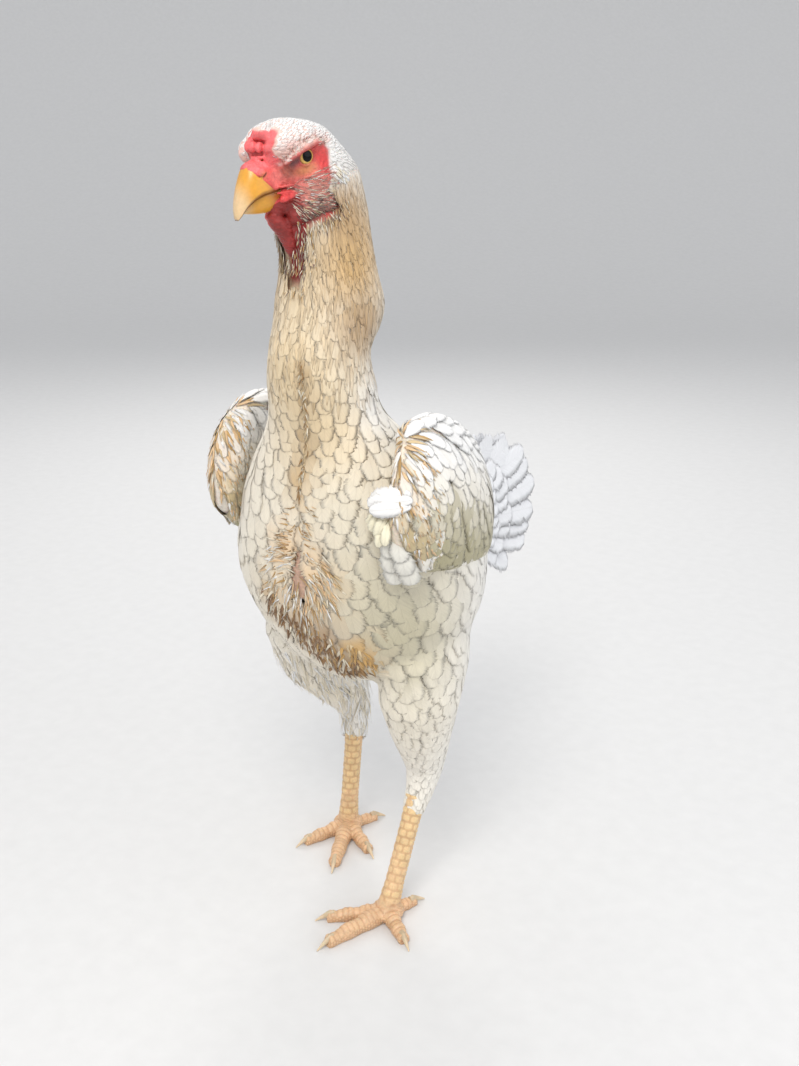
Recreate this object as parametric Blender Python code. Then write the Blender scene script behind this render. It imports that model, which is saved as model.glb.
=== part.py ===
"""A shamo chicken standing at rest, life size, as a still model.

Metres, +Z up. The bird is drawn facing -Y with +X on its own left, from the point on the ground
midway between its feet. At the end all pieces move so that the middle of the whole model's base
is the origin. Lengths of the head are given along the head's own axes: forward, left and up.
"""

import math

import bmesh
import bpy
from mathutils import Matrix, Vector

# Clearance between neighbouring pieces
GAP = 0.0003

# Trunk and lower neck as level sections: height, front, back, half width, taper to the tail
BODY_SECTIONS = (
    (0.201, -0.034, 0.026, 0.024, 0.00),
    (0.212, -0.048, 0.054, 0.056, 0.10),
    (0.235, -0.062, 0.098, 0.088, 0.35),
    (0.262, -0.071, 0.126, 0.103, 0.52),
    (0.290, -0.077, 0.136, 0.108, 0.62),
    (0.320, -0.080, 0.128, 0.106, 0.62),
    (0.350, -0.081, 0.092, 0.095, 0.50),
    (0.378, -0.079, 0.046, 0.073, 0.28),
    (0.400, -0.078, 0.012, 0.052, 0.10),
    (0.418, -0.080, -0.006, 0.041, 0.02),
    (0.436, -0.083, -0.010, 0.039, 0.00),
    (0.460, -0.083, -0.015, 0.035, 0.00),
    (0.482, -0.0745, 0.0010, 0.0380, 0.00),
    (0.500, -0.0705, -0.0010, 0.0380, 0.00),
)
# How square the level sections are: 1 is an ellipse, less is fuller at the shoulders
BODY_SQUARE = 0.82
# The right flank's feathers stand out further: how much, at what height and over what reach
FLANK_SPREAD = 0.130
FLANK_HEIGHT = 0.280
FLANK_REACH = 0.045
TRUNK_TOP = 0.412
NECK_SPLIT = 0.500
TAIL_PLANE = 0.122

# Head: the point midway between the eyes, its turn to the bird's right and its nod
HEAD_ORIGIN = Vector((-0.0072, -0.0667, 0.5902))
HEAD_TURN = math.radians(15.0)
HEAD_NOD = math.radians(24.0)
HEAD_BASE = -0.029

# Upper neck: height, middle, half depth, half width, share of the head's turn and nod
NECK_SECTIONS = (
    (0.500, -0.0358, 0.0348, 0.0380, 0.00),
    (0.514, -0.0362, 0.0335, 0.0350, 0.25),
    (0.531, -0.0368, 0.0335, 0.0310, 0.50),
    (0.548, -0.0402, 0.0368, 0.0278, 0.75),
)

# Skull and cheeks by level of the head: up, back, front, half width, taper to the beak, squareness
HEAD_SECTIONS = (
    (-0.0290, -0.0452, 0.0275, 0.0250, 0.55, 0.90),
    (-0.0215, -0.0424, 0.0292, 0.0250, 0.55, 0.85),
    (-0.0130, -0.0388, 0.0276, 0.0248, 0.55, 0.80),
    (-0.0050, -0.0350, 0.0276, 0.0241, 0.55, 0.75),
    (0.0030, -0.0308, 0.0272, 0.0236, 0.40, 0.65),
    (0.0090, -0.0264, 0.0268, 0.0236, 0.18, 0.50),
    (0.0140, -0.0204, 0.0262, 0.0236, 0.03, 0.40),
    (0.0180, -0.0148, 0.0250, 0.0222, 0.00, 0.40),
    (0.0210, -0.0094, 0.0228, 0.0192, 0.00, 0.45),
    (0.0230, -0.0056, 0.0180, 0.0150, 0.00, 0.60),
    (0.0241, -0.0010, 0.0110, 0.0080, 0.00, 0.80),
)
# Hollow of the forehead that holds the comb: up, forward, and its half width
FOREHEAD = (
    (-0.0020, 0.0400),
    (0.0040, 0.0255),
    (0.0090, 0.0206),
    (0.0140, 0.0176),
    (0.0180, 0.0128),
    (0.0210, 0.0070),
    (0.0241, 0.0040),
)
FOREHEAD_WIDTH = 0.0102

EYE_RADIUS = 0.0078
EYE_PLACE = (0.0, 0.0139, 0.0)
EYE_FORWARD = math.radians(16.0)
LID_OPENING = math.radians(47.0)

# Folds and swellings of the face: forward, left, up, reach, height
FACE_FORMS = (
    (0.0165, 0.0200, 0.0115, 0.0095, 0.0026),
    (-0.0020, 0.0215, 0.0120, 0.0085, 0.0022),
    (0.0060, 0.0200, -0.0010, 0.0060, 0.0012),
    (0.0190, 0.0150, 0.0015, 0.0070, -0.0020),
    (-0.0040, 0.0205, -0.0150, 0.0110, 0.0022),
    (0.0100, 0.0170, -0.0170, 0.0080, 0.0016),
)
# Forms of the head as forward, left, up and their reach along the same three ways
CHIN = (0.0225, 0.0, -0.0205, 0.0090, 0.0098, 0.0066)
EAR_LOBE = (-0.0150, 0.0215, -0.0190, 0.0042, 0.0032, 0.0065)
GAPE_FOLD = (0.0190, 0.0140, -0.0195, 0.0075, 0.0030, 0.0028)
# Cuts of the head: forward, left and up of the middle, the way it runs, and its three reaches
GAPE_CREASE = (0.0215, 0.0135, -0.0150, 0.80, -0.35, 0.30, 0.0085, 0.0045, 0.0007)
NOSTRIL = (0.0290, 0.0118, -0.0012, 0.97, -0.10, -0.10, 0.0042, 0.0026, 0.0008)
# Skin over the root of the beak: how far forward its edge is at the mouth, and its slope above
CERE_EDGE = 0.0262
CERE_SLOPE = 0.60
# Pieces joined to the head sit this far off its middle, so that no seams fall together
OFF_MIDDLE = 0.00017

# Upper beak: forward, ridge, edge of the mouth, half width
UPPER_BEAK = (
    (0.0130, 0.0085, -0.0125, 0.0112),
    (0.0280, 0.0092, -0.0118, 0.0112),
    (0.0350, 0.0086, -0.0106, 0.0105),
    (0.0420, 0.0024, -0.0112, 0.0090),
    (0.0480, -0.0046, -0.0136, 0.0069),
    (0.0525, -0.0108, -0.0170, 0.0046),
    (0.0551, -0.0158, -0.0192, 0.0020),
)
# Lower beak: forward, edge of the mouth, underside, half width
LOWER_BEAK = (
    (0.0180, -0.0135, -0.0250, 0.0094),
    (0.0260, -0.0124, -0.0250, 0.0088),
    (0.0340, -0.0112, -0.0240, 0.0078),
    (0.0410, -0.0121, -0.0214, 0.0058),
    (0.0460, -0.0142, -0.0190, 0.0038),
    (0.0488, -0.0160, -0.0174, 0.0014),
)

# Comb: lobes of the forehead as forward, left, up and their reach along the same three ways
COMB_LOBES = (
    (0.0100, 0.0000, 0.0202, 0.0044, 0.0086, 0.0034),
    (0.0150, -0.0054, 0.0176, 0.0052, 0.0044, 0.0046),
    (0.0156, 0.0044, 0.0178, 0.0050, 0.0044, 0.0046),
    (0.0190, -0.0038, 0.0140, 0.0044, 0.0040, 0.0052),
    (0.0192, 0.0034, 0.0138, 0.0044, 0.0038, 0.0054),
    (0.0170, 0.0098, 0.0140, 0.0040, 0.0034, 0.0050),
    (0.0220, -0.0030, 0.0098, 0.0038, 0.0048, 0.0032),
    (0.0222, 0.0048, 0.0094, 0.0036, 0.0048, 0.0032),
    (0.0248, 0.0006, 0.0074, 0.0036, 0.0064, 0.0024),
)

# Wing: share of its length, middle line, half height, thickness
WING_STATIONS = (
    (0.00, 0.0760, -0.0730, 0.3720, 0.0240, 0.0130),
    (0.07, 0.0840, -0.0660, 0.3710, 0.0410, 0.0230),
    (0.22, 0.0900, -0.0400, 0.3685, 0.0540, 0.0270),
    (0.42, 0.0890, 0.0020, 0.3560, 0.0530, 0.0230),
    (0.62, 0.0790, 0.0460, 0.3380, 0.0440, 0.0150),
    (0.82, 0.0580, 0.0880, 0.3180, 0.0290, 0.0080),
    (1.00, 0.0370, 0.1260, 0.3000, 0.0150, 0.0030),
)
WING_CAMBER = 3.2
WING_LEAN = -0.16
# The right wing is held this much closer
WING_TUCK = 0.003
CORE_END = 0.90
# Thickness of a feather's vane, and how far one edge stands out and the other in
VANE = 0.00055
VANE_TILT = 0.0012
# Rows of a vane from its root: share of the length, share of the half width
VANE_ROWS = ((0.0, 0.60), (0.35, 0.96), (0.84, 0.92), (1.0, 0.30))
# Feathers of the wing lie along lines that run from its leading edge to its tip. Each line is a
# share of the half height above the middle. Tiers: count of feathers, their root, the uppermost
# one's tip, how much later the tip of each one below it is, lift off the wing
TOP_LINE = 0.70
LINE_STEP = 0.210
ROOT_RISE = 0.075
WING_TIERS = (
    (8, 0.42, 0.82, 0.024, 0.0018),
    (7, 0.28, 0.57, 0.012, 0.0040),
    (7, 0.16, 0.38, 0.006, 0.0062),
)

# Tail: the fleshy root as distance along the bird, low and high edge, half width
TAIL_STATIONS = (
    (0.106, 0.2620, 0.3240, 0.0260),
    (0.130, 0.2560, 0.3300, 0.0270),
    (0.150, 0.2640, 0.3240, 0.0180),
    (0.168, 0.2780, 0.3120, 0.0060),
)
# Tail feathers stand like a tent: distance of its sides from the middle at a height, and slope
TENT_HALF = 0.0050
TENT_TOP = 0.335
TENT_SLOPE = 0.20
TAIL_ROOT = (0.128, 0.308)
TAIL_ROOT_STEP = -0.0058
TAIL_STACK = 0.0009
TAIL_TILT = 0.0003
# Tips of the feathers from the uppermost down: along the bird, height, half width
TAIL_TIPS = (
    (0.1870, 0.3480, 0.0100),
    (0.2300, 0.3350, 0.0108),
    (0.2490, 0.3170, 0.0112),
    (0.2580, 0.2910, 0.0115),
    (0.2570, 0.2640, 0.0115),
    (0.2320, 0.2460, 0.0110),
    (0.1970, 0.2300, 0.0100),
)
# The feathers over their roots reach this share of their length, and lie this much further out
COVERT_REACH = 0.56
COVERT_LIFT = 0.0026
UPRIGHT_TIP = (0.154, 0.359, 0.0065)

# Legs: the feathered part runs from inside the trunk past the hock, then the bare shank and foot
LEFT_LEG = (
    (0.0560, 0.0120, 0.2800, 0.0120, 0.0160),
    (0.0570, 0.0100, 0.2600, 0.0290, 0.0380),
    (0.0565, 0.0020, 0.2200, 0.0325, 0.0440),
    (0.0550, -0.0005, 0.1850, 0.0305, 0.0365),
    (0.0530, 0.0055, 0.1560, 0.0245, 0.0280),
    (0.0515, 0.0115, 0.1310, 0.0185, 0.0210),
    (0.0505, 0.0135, 0.1130, 0.0145, 0.0160),
    (0.0500, 0.0070, 0.0960, 0.0115, 0.0120),
    (0.0495, -0.0030, 0.0790, 0.0088, 0.0095),
)
RIGHT_LEG = (
    (-0.0560, 0.0120, 0.2800, 0.0120, 0.0160),
    (-0.0580, 0.0120, 0.2600, 0.0300, 0.0400),
    (-0.0620, 0.0120, 0.2200, 0.0370, 0.0460),
    (-0.0640, 0.0240, 0.1850, 0.0330, 0.0380),
    (-0.0570, 0.0400, 0.1560, 0.0240, 0.0280),
    (-0.0540, 0.0510, 0.1340, 0.0165, 0.0190),
    (-0.0520, 0.0560, 0.1190, 0.0130, 0.0145),
    (-0.0522, 0.0550, 0.1050, 0.0105, 0.0110),
    (-0.0526, 0.0535, 0.0930, 0.0086, 0.0092),
)
LEFT_PALM = (0.0490, -0.0370)
RIGHT_PALM = (-0.0550, 0.0460)
PALM_HEIGHT = 0.0125
SHANK_WIDTH = 0.0074
SHANK_DEPTH = 0.0084

# Toes of each foot: where the claw's point comes down, half width at the root
LEFT_TOES = {
    "inner": (0.0045, -0.0760, 0.0072),
    "middle": (0.0290, -0.1040, 0.0080),
    "outer": (0.0880, -0.0630, 0.0072),
    "hind": (0.0610, -0.0010, 0.0062),
}
RIGHT_TOES = {
    "inner": (-0.0070, 0.0200, 0.0072),
    "middle": (-0.0240, -0.0180, 0.0080),
    "outer": (-0.0740, -0.0060, 0.0072),
    "hind": (-0.0390, 0.0820, 0.0062),
}
# Scutes: how far each one's lower edge stands out, and how many there are
SCUTE_STEP = 0.0005
SHANK_SCUTES = 11
TOE_SCUTES = 6
CLAW_LENGTH = 0.0125
CLAW_RADIUS = 0.0033

# Colour, roughness and metallic value of each material
MATERIALS = {
    "plumage": ((0.86, 0.81, 0.70), 0.80, 0.0),
    "flight_feathers": ((0.88, 0.86, 0.80), 0.70, 0.0),
    "face_skin": ((0.72, 0.16, 0.13), 0.55, 0.0),
    "horn": ((0.86, 0.62, 0.22), 0.40, 0.0),
    "leg_scales": ((0.86, 0.58, 0.30), 0.55, 0.0),
    "claw_horn": ((0.80, 0.70, 0.55), 0.45, 0.0),
    "eye": ((0.80, 0.52, 0.16), 0.08, 0.0),
}


def clear_scene():
    for old in list(bpy.data.objects):
        bpy.data.objects.remove(old, do_unlink=True)


def new_collection(name):
    found = bpy.data.collections.new(name)
    bpy.context.scene.collection.children.link(found)
    return found


def material(name):
    found = bpy.data.materials.get(name)
    if found:
        return found
    colour, roughness, metallic = MATERIALS[name]
    made = bpy.data.materials.new(name)
    made.use_nodes = True
    shader = made.node_tree.nodes["Principled BSDF"]
    shader.inputs["Base Color"].default_value = (*colour, 1.0)
    shader.inputs["Roughness"].default_value = roughness
    shader.inputs["Metallic"].default_value = metallic
    made.diffuse_color = (*colour, 1.0)
    return made


def along(stations, place):
    """The values between stations (place, value, ...), on a smooth curve through them."""
    last = len(stations) - 2
    index = 0
    while index < last and place > stations[index + 1][0]:
        index += 1
    before = stations[max(index - 1, 0)]
    start = stations[index]
    end = stations[index + 1]
    after = stations[min(index + 2, last + 1)]
    span = end[0] - start[0]
    t = (place - start[0]) / span
    values = []
    for k in range(1, len(start)):
        slope_in = (end[k] - before[k]) / (end[0] - before[0]) * span
        slope_out = (after[k] - start[k]) / (after[0] - start[0]) * span
        if t > 1.0:
            values.append(end[k] + slope_out * (t - 1.0))
            continue
        if t < 0.0:
            values.append(start[k] + slope_in * t)
            continue
        values.append(
            (2 * t**3 - 3 * t**2 + 1) * start[k]
            + (t**3 - 2 * t**2 + t) * slope_in
            + (3 * t**2 - 2 * t**3) * end[k]
            + (t**3 - t**2) * slope_out
        )
    return values


def spread(first, last, count):
    return [first + (last - first) * k / (count - 1) for k in range(count)]


def finish_mesh(work, name):
    """A new object from a bmesh whose faces point out."""
    bmesh.ops.recalc_face_normals(work, faces=work.faces)
    mesh = bpy.data.meshes.new(name)
    work.to_mesh(mesh)
    work.free()
    mesh.shade_smooth()
    made = bpy.data.objects.new(name, mesh)
    bpy.context.scene.collection.objects.link(made)
    return made


def loft(name, rings):
    """A closed skin over rings of as many points each, with a fan over each end."""
    work = bmesh.new()
    rows = [[work.verts.new(point) for point in ring] for ring in rings]
    for low, high in zip(rows, rows[1:]):
        for k in range(len(low)):
            n = (k + 1) % len(low)
            work.faces.new((low[k], low[n], high[n], high[k]))
    for row, points in ((rows[0], rings[0]), (rows[-1], rings[-1])):
        middle = work.verts.new(sum(points, Vector()) / len(points))
        for k in range(len(row)):
            work.faces.new((row[k], row[(k + 1) % len(row)], middle))
    return finish_mesh(work, name)


def tube(name, stations, sides, folds=0, depth=0.0):
    """A limb through stations (x, y, z, half width, half depth), each ring square to its path."""
    centres = [Vector(s[:3]) for s in stations]
    rings = []
    for k, station in enumerate(stations):
        run = centres[min(k + 1, len(centres) - 1)] - centres[max(k - 1, 0)]
        side = Vector((1, 0, 0)) - run * (run.x / run.length_squared)
        side.normalize()
        fore = run.cross(side).normalized()
        ring = []
        for n in range(sides):
            turn = 2 * math.pi * n / sides
            reach = 1.0 + depth * math.cos(folds * turn)
            across = side * (math.cos(turn) * station[3] * reach)
            ring.append(centres[k] + across + fore * (math.sin(turn) * station[4] * reach))
        rings.append(ring)
    return loft(name, rings)


def ellipsoid(name, centre, axes, radii, rows=6, sides=8):
    """A closed egg: axes are three unit vectors, radii the reach along each."""
    work = bmesh.new()
    bmesh.ops.create_uvsphere(work, u_segments=sides, v_segments=rows, radius=1.0)
    place = Matrix([axis * radius for axis, radius in zip(axes, radii)]).transposed().to_4x4()
    place.translation = centre
    bmesh.ops.transform(work, matrix=place, verts=work.verts)
    return finish_mesh(work, name)


def box(name, low, high):
    work = bmesh.new()
    bmesh.ops.create_cube(work, size=1.0)
    for corner in work.verts:
        for k in range(3):
            corner.co[k] = low[k] if corner.co[k] < 0 else high[k]
    return finish_mesh(work, name)


def grown(source, distance):
    """A copy of a closed object, pushed out along its normals, to cut its neighbours with."""
    work = bmesh.new()
    work.from_mesh(source.data)
    bmesh.ops.recalc_face_normals(work, faces=work.faces)
    work.normal_update()
    moves = [(corner, corner.normal.copy()) for corner in work.verts]
    for corner, normal in moves:
        corner.co += normal * distance
    return finish_mesh(work, source.name + "_grown")


def apply_modifiers(target):
    graph = bpy.context.evaluated_depsgraph_get()
    mesh = bpy.data.meshes.new_from_object(target.evaluated_get(graph))
    target.modifiers.clear()
    target.data = mesh


def combine(target, others, operation, solver="MANIFOLD"):
    """One Boolean of the target with a collection of closed objects, which are then removed."""
    gathered = bpy.data.collections.new("gathered")
    for other in others:
        gathered.objects.link(other)
    modifier = target.modifiers.new("combine", "BOOLEAN")
    modifier.operation = operation
    modifier.solver = solver
    modifier.operand_type = "COLLECTION"
    modifier.collection = gathered
    bpy.context.view_layer.update()
    apply_modifiers(target)
    for other in others:
        bpy.data.objects.remove(other, do_unlink=True)
    bpy.data.collections.remove(gathered)
    keep_largest(target)


def shell_volume(faces):
    total = 0.0
    for face in faces:
        corners = [loop.vert.co for loop in face.loops]
        for k in range(1, len(corners) - 1):
            total += corners[0].dot(corners[k].cross(corners[k + 1])) / 6.0
    return total


def keep_largest(target):
    """Leaves only the closed surface that holds the most."""
    work = bmesh.new()
    work.from_mesh(target.data)
    shells = []
    seen = set()
    for seed in work.faces:
        if seed in seen:
            continue
        shell = []
        waiting = [seed]
        seen.add(seed)
        while waiting:
            face = waiting.pop()
            shell.append(face)
            for edge in face.edges:
                for beside in edge.link_faces:
                    if beside not in seen:
                        seen.add(beside)
                        waiting.append(beside)
        shells.append(shell)
    if len(shells) > 1:
        shells.sort(key=shell_volume)
        loose = [face for shell in shells[:-1] for face in shell]
        bmesh.ops.delete(work, geom=loose, context="FACES")
    work.to_mesh(target.data)
    work.free()


def cut_away(target, *keepers):
    """Cuts the target clear of its neighbours, leaving the gap between them."""
    combine(target, [grown(keeper, GAP * 1.2) for keeper in keepers], "DIFFERENCE")


def side_name(side):
    return "left" if side > 0 else "right"


def fullness(turn, square):
    """The sine of a turn, filled out towards a square the lower square is."""
    sine = math.sin(turn)
    return math.copysign(abs(sine) ** square, sine)


def body_ring(height, sides):
    """One level section of the trunk and lower neck, rounder in front than behind."""
    front, back, half_width, taper = along(BODY_SECTIONS, height)
    flank = 1.0 + FLANK_SPREAD * math.exp(-((height - FLANK_HEIGHT) / FLANK_REACH) ** 2)
    ring = []
    for k in range(sides):
        turn = 2 * math.pi * k / sides
        share = (1 - math.cos(turn)) / 2
        width = half_width * (1 - taper * share**2) * fullness(turn, BODY_SQUARE)
        if width < 0:
            width *= flank
        ring.append(Vector((width, front + (back - front) * share, height)))
    return ring


def make_trunk():
    """The trunk, cut square behind where the tail joins it."""
    heights = spread(BODY_SECTIONS[0][0], TRUNK_TOP, 16)
    trunk = loft("torso", [body_ring(height, 32) for height in heights])
    behind = box("behind", (-0.2, TAIL_PLANE, 0.1), (0.2, 0.3, 0.5))
    combine(trunk, [behind], "DIFFERENCE")
    return trunk


def make_lower_neck():
    heights = spread(TRUNK_TOP + GAP, NECK_SPLIT, 8)
    return loft("neck_lower", [body_ring(height, 28) for height in heights])


def head_axes(share=1.0):
    """Forward, left and up of the head, or of the neck part way to it."""
    turn = HEAD_TURN * share
    nod = HEAD_NOD * share
    forward = Vector((-math.sin(turn) * math.cos(nod), -math.cos(turn) * math.cos(nod), -math.sin(nod)))
    left = Vector((math.cos(turn), -math.sin(turn), 0.0))
    return forward, left, left.cross(forward) * -1


def head_point(forward, left, up):
    along_head, to_left, upward = head_axes()
    return HEAD_ORIGIN + along_head * forward + to_left * left + upward * up


def even(points, count):
    """Points at even steps round a closed line, from its first point on."""
    closed = points + points[:1]
    steps = [(b - a).length for a, b in zip(closed, closed[1:])]
    total = sum(steps)
    ring = []
    index = 0
    walked = 0.0
    for k in range(count):
        goal = total * k / count
        while walked + steps[index] < goal:
            walked += steps[index]
            index += 1
        ring.append(closed[index].lerp(closed[index + 1], (goal - walked) / steps[index]))
    return ring


def head_ring(level, sides):
    """One level section of the head, which narrows to the beak, at even steps."""
    back, front, half_width, taper, square = along(HEAD_SECTIONS, level)
    points = []
    fine = 160
    for k in range(fine):
        turn = 2 * math.pi * k / fine
        share = (1 - math.cos(turn)) / 2
        width = half_width * (1 - taper * share**2) * fullness(turn, square)
        points.append(Vector((back + (front - back) * share, width, level)))
    return even(points, sides)


def make_upper_neck():
    """The neck from its middle up to the level under the jaw, turning with the head."""
    rings = []
    sides = 28
    for height in spread(NECK_SECTIONS[0][0], NECK_SECTIONS[-1][0], 5):
        middle, half_depth, half_width, share = along(NECK_SECTIONS, height)
        forward, left, _ = head_axes(share)
        centre = Vector((HEAD_ORIGIN.x * share * 0.5, middle, height))
        if height == NECK_SECTIONS[0][0]:
            centre.z += GAP
        ring = []
        for k in range(sides):
            turn = 2 * math.pi * k / sides
            depth = -forward * (half_depth * math.cos(turn))
            ring.append(centre + depth + left * (half_width * math.sin(turn)))
        rings.append(ring)
    top = [head_point(f, l, h - GAP) for f, l, h in head_ring(HEAD_BASE, sides)]
    rings.append(top)
    return loft("neck_upper", rings)


def raised(point):
    """A point of the head's smooth form with the forehead's hollow and the face's forms added."""
    forward, left, up = point
    spare = max(0.0, forward - along(FOREHEAD, up)[0])
    forward -= spare * math.exp(-(left / FOREHEAD_WIDTH) ** 2)
    shift = 0.0
    for f, l, h, reach, height in FACE_FORMS:
        away = (forward - f) ** 2 + (abs(left) - l) ** 2 + (up - h) ** 2
        shift += height * math.exp(-away / reach**2 * 2)
    out = Vector((forward * 0.3, left, up * 0.5))
    return Vector((forward, left, up)) + out.normalized() * shift


def eye_centre(side):
    forward, left, up = EYE_PLACE
    return head_point(forward, left * side, up)


def eye_axes(side):
    """Forward, outward and up of an eye, which looks a little ahead."""
    forward, left, up = head_axes()
    outward = left * side * math.cos(EYE_FORWARD) + forward * math.sin(EYE_FORWARD)
    ahead = forward * math.cos(EYE_FORWARD) - left * side * math.sin(EYE_FORWARD)
    return ahead, outward, up


def make_lids(side):
    """The ring of the two lids: an almond rope round the eyeball, thicker over the top."""
    forward, outward, up = eye_axes(side)
    reach = EYE_RADIUS + 0.0009
    rings = []
    count = 12
    for k in range(count):
        turn = 2 * math.pi * (k + 0.3) / count
        squeeze = 1.0 - 0.20 * math.sin(turn + 0.05) ** 2
        angle = LID_OPENING * squeeze
        around = forward * math.cos(turn) + up * math.sin(turn)
        spine = around * math.sin(angle) + outward * math.cos(angle)
        radius = 0.0014 + 0.0004 * max(0.0, math.sin(turn))
        across = spine.cross(around.cross(outward)).normalized()
        ring = []
        for n in range(5):
            bend = 2 * math.pi * n / 5
            offset = spine * math.cos(bend) + across * math.sin(bend)
            ring.append(eye_centre(side) + spine * reach + offset * radius)
        rings.append(ring)
    work = bmesh.new()
    rows = [[work.verts.new(point) for point in ring] for ring in rings]
    for k in range(count):
        row = rows[k]
        beside = rows[(k + 1) % count]
        for n in range(5):
            m = (n + 1) % 5
            work.faces.new((row[n], row[m], beside[m], beside[n]))
    return finish_mesh(work, "lids")


def make_eye(side):
    forward, left, up = head_axes()
    eye = ellipsoid(
        "eye_" + side_name(side),
        eye_centre(side),
        (forward, up, left),
        (EYE_RADIUS, EYE_RADIUS, EYE_RADIUS),
        rows=8,
        sides=12,
    )
    return eye


def head_form(name, form, side):
    """An egg on one side of the head, or on its middle, along the head's own axes."""
    forward, left, up = form[:3]
    place = head_point(forward, left * side if left else OFF_MIDDLE, up)
    return ellipsoid(name, place, head_axes(), form[3:])


def head_slit(name, cut, side):
    """A flat cutter for a slit on one side of the head."""
    forward, left, up = head_axes()
    run = (forward * cut[3] + left * side * cut[4] + up * cut[5]).normalized()
    outward = (left * side - run * run.dot(left * side)).normalized()
    place = head_point(cut[0], cut[1] * side, cut[2])
    return ellipsoid(name, place, (run, outward, run.cross(outward)), cut[6:], sides=10)


def make_socket(side):
    """The eyeball's hollow, wider than the eye by the gap."""
    forward, left, up = head_axes()
    reach = EYE_RADIUS + GAP
    axes = (forward, up, left)
    return ellipsoid("socket", eye_centre(side), axes, (reach, reach, reach), rows=8, sides=12)


def make_head():
    """Skull and cheeks with brow, lids, cere, ear lobes and the crease beside the mouth."""
    levels = spread(HEAD_SECTIONS[0][0], HEAD_SECTIONS[-1][0], 15)
    rings = []
    for level in levels:
        rings.append([head_point(*raised(point)) for point in head_ring(level, 32)])
    head = loft("head", rings)
    added = [make_cere(), head_form("chin", CHIN, 1)]
    cutters = []
    for side in (1, -1):
        added.append(make_lids(side))
        added.append(head_form("lobe", EAR_LOBE, side))
        added.append(head_form("fold", GAPE_FOLD, side))
        cutters.append(make_socket(side))
        cutters.append(head_slit("crease", GAPE_CREASE, side))
        cutters.append(head_slit("nostril", NOSTRIL, side))
    combine(head, added, "UNION")
    combine(head, cutters, "DIFFERENCE")
    return head


def beak_ring(ridge, edge, half_width, forward, arch, slope=0.0, aside=0.0):
    """Half an arch over the mouth's edge, or under it where arch is -1."""
    ring = []
    count = 7
    height = (ridge - edge) * arch
    for k in range(count):
        turn = math.pi * k / (count - 1)
        rise = height * math.sin(turn) ** 0.8
        place = forward + slope * rise
        ring.append(head_point(place, half_width * math.cos(turn) + aside, edge + rise * arch))
    for share in (-0.5, 0.0, 0.5):
        groove = 0.06 * height * (1 - abs(share))
        ring.append(head_point(forward, half_width * share + aside, edge + groove * arch))
    return ring


def make_cere():
    """The skin over the root of the upper beak, whose front edge slopes forward and up."""
    rings = []
    for back in (0.0140, 0.0090, 0.0040, 0.0010, 0.0):
        forward = CERE_EDGE - back
        _, edge, half_width = along(UPPER_BEAK, forward)
        ridge = along(UPPER_BEAK, forward + 0.0125)[0]
        spare = 0.0002 if back == 0.0 else 0.0007
        arch = (ridge + spare, edge, half_width + spare, forward, 1, CERE_SLOPE, OFF_MIDDLE)
        rings.append(beak_ring(*arch))
    return loft("cere", rings)


def make_upper_beak(head):
    rings = []
    for forward in spread(UPPER_BEAK[0][0], UPPER_BEAK[-1][0], 12):
        ridge, edge, half_width = along(UPPER_BEAK, forward)
        rings.append(beak_ring(ridge, edge, half_width, forward, 1))
    beak = loft("beak_upper", rings)
    cut_away(beak, head)
    return beak


def make_lower_beak(head):
    rings = []
    for forward in spread(LOWER_BEAK[0][0], LOWER_BEAK[-1][0], 8):
        edge, underside, half_width = along(LOWER_BEAK, forward)
        rings.append(beak_ring(underside, edge, half_width, forward, -1, 0.0, OFF_MIDDLE / 2))
    beak = loft("beak_lower", rings)
    cut_away(beak, head)
    return beak


def make_comb(head, upper_beak):
    """Lobes that grow together in the hollow of the forehead, down to the beak."""
    axes = head_axes()
    lobes = []
    for lobe in COMB_LOBES:
        lobes.append(ellipsoid("lobe", head_point(*lobe[:3]), axes, lobe[3:], rows=5, sides=7))
    comb = lobes.pop(0)
    comb.name = "comb"
    combine(comb, lobes, "UNION")
    cut_away(comb, head, upper_beak)
    return comb


def make_dewlap(neighbours):
    """The folds of bare skin from under the beak down the throat."""
    path = (
        (head_point(0.0305, 0.0, -0.0262), 0.0058, 0.0045),
        (head_point(0.0270, 0.0, -0.0330), 0.0078, 0.0062),
        (head_point(0.0232, 0.0, -0.0440), 0.0080, 0.0078),
        (head_point(0.0238, 0.0, -0.0550), 0.0062, 0.0072),
        (Vector((-0.0020, -0.0698, 0.5170)), 0.0044, 0.0050),
        (Vector((-0.0008, -0.0708, 0.5075)), 0.0018, 0.0026),
    )
    stations = [(*place, half_width, half_depth) for place, half_width, half_depth in path]
    dewlap = tube("dewlap", stations, 20, folds=5, depth=0.11)
    cut_away(dewlap, *neighbours)
    return dewlap


def wing_frame(share):
    """Middle point, tangent, up and outward of the left wing's plate at a share of its length."""
    step = 0.01
    here = Vector(along(WING_STATIONS, share)[:3])
    ahead = Vector(along(WING_STATIONS, share + step)[:3])
    run = (ahead - Vector(along(WING_STATIONS, share - step)[:3])).normalized()
    up = Vector((WING_LEAN, 0.0, 1.0))
    up = (up - run * up.dot(run)).normalized()
    return here, run, up, run.cross(up)


def wing_skin(share, rise):
    """How far out the wing's own surface lies at a rise above its middle line."""
    _, _, _, half_height, thickness = along(WING_STATIONS, share)
    inside = max(0.05, 1.0 - (rise / half_height) ** 2)
    return max(thickness, 0.0) / 2 * inside**0.3


def wing_point(side, share, rise, out):
    """A point of a wing's plate: rise up it and out from its middle, both in metres."""
    middle, _, up, outward = wing_frame(share)
    point = middle + up * rise + outward * (out - WING_CAMBER * rise**2)
    if side < 0:
        return Vector((WING_TUCK - point.x, point.y, point.z))
    return point


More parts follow.
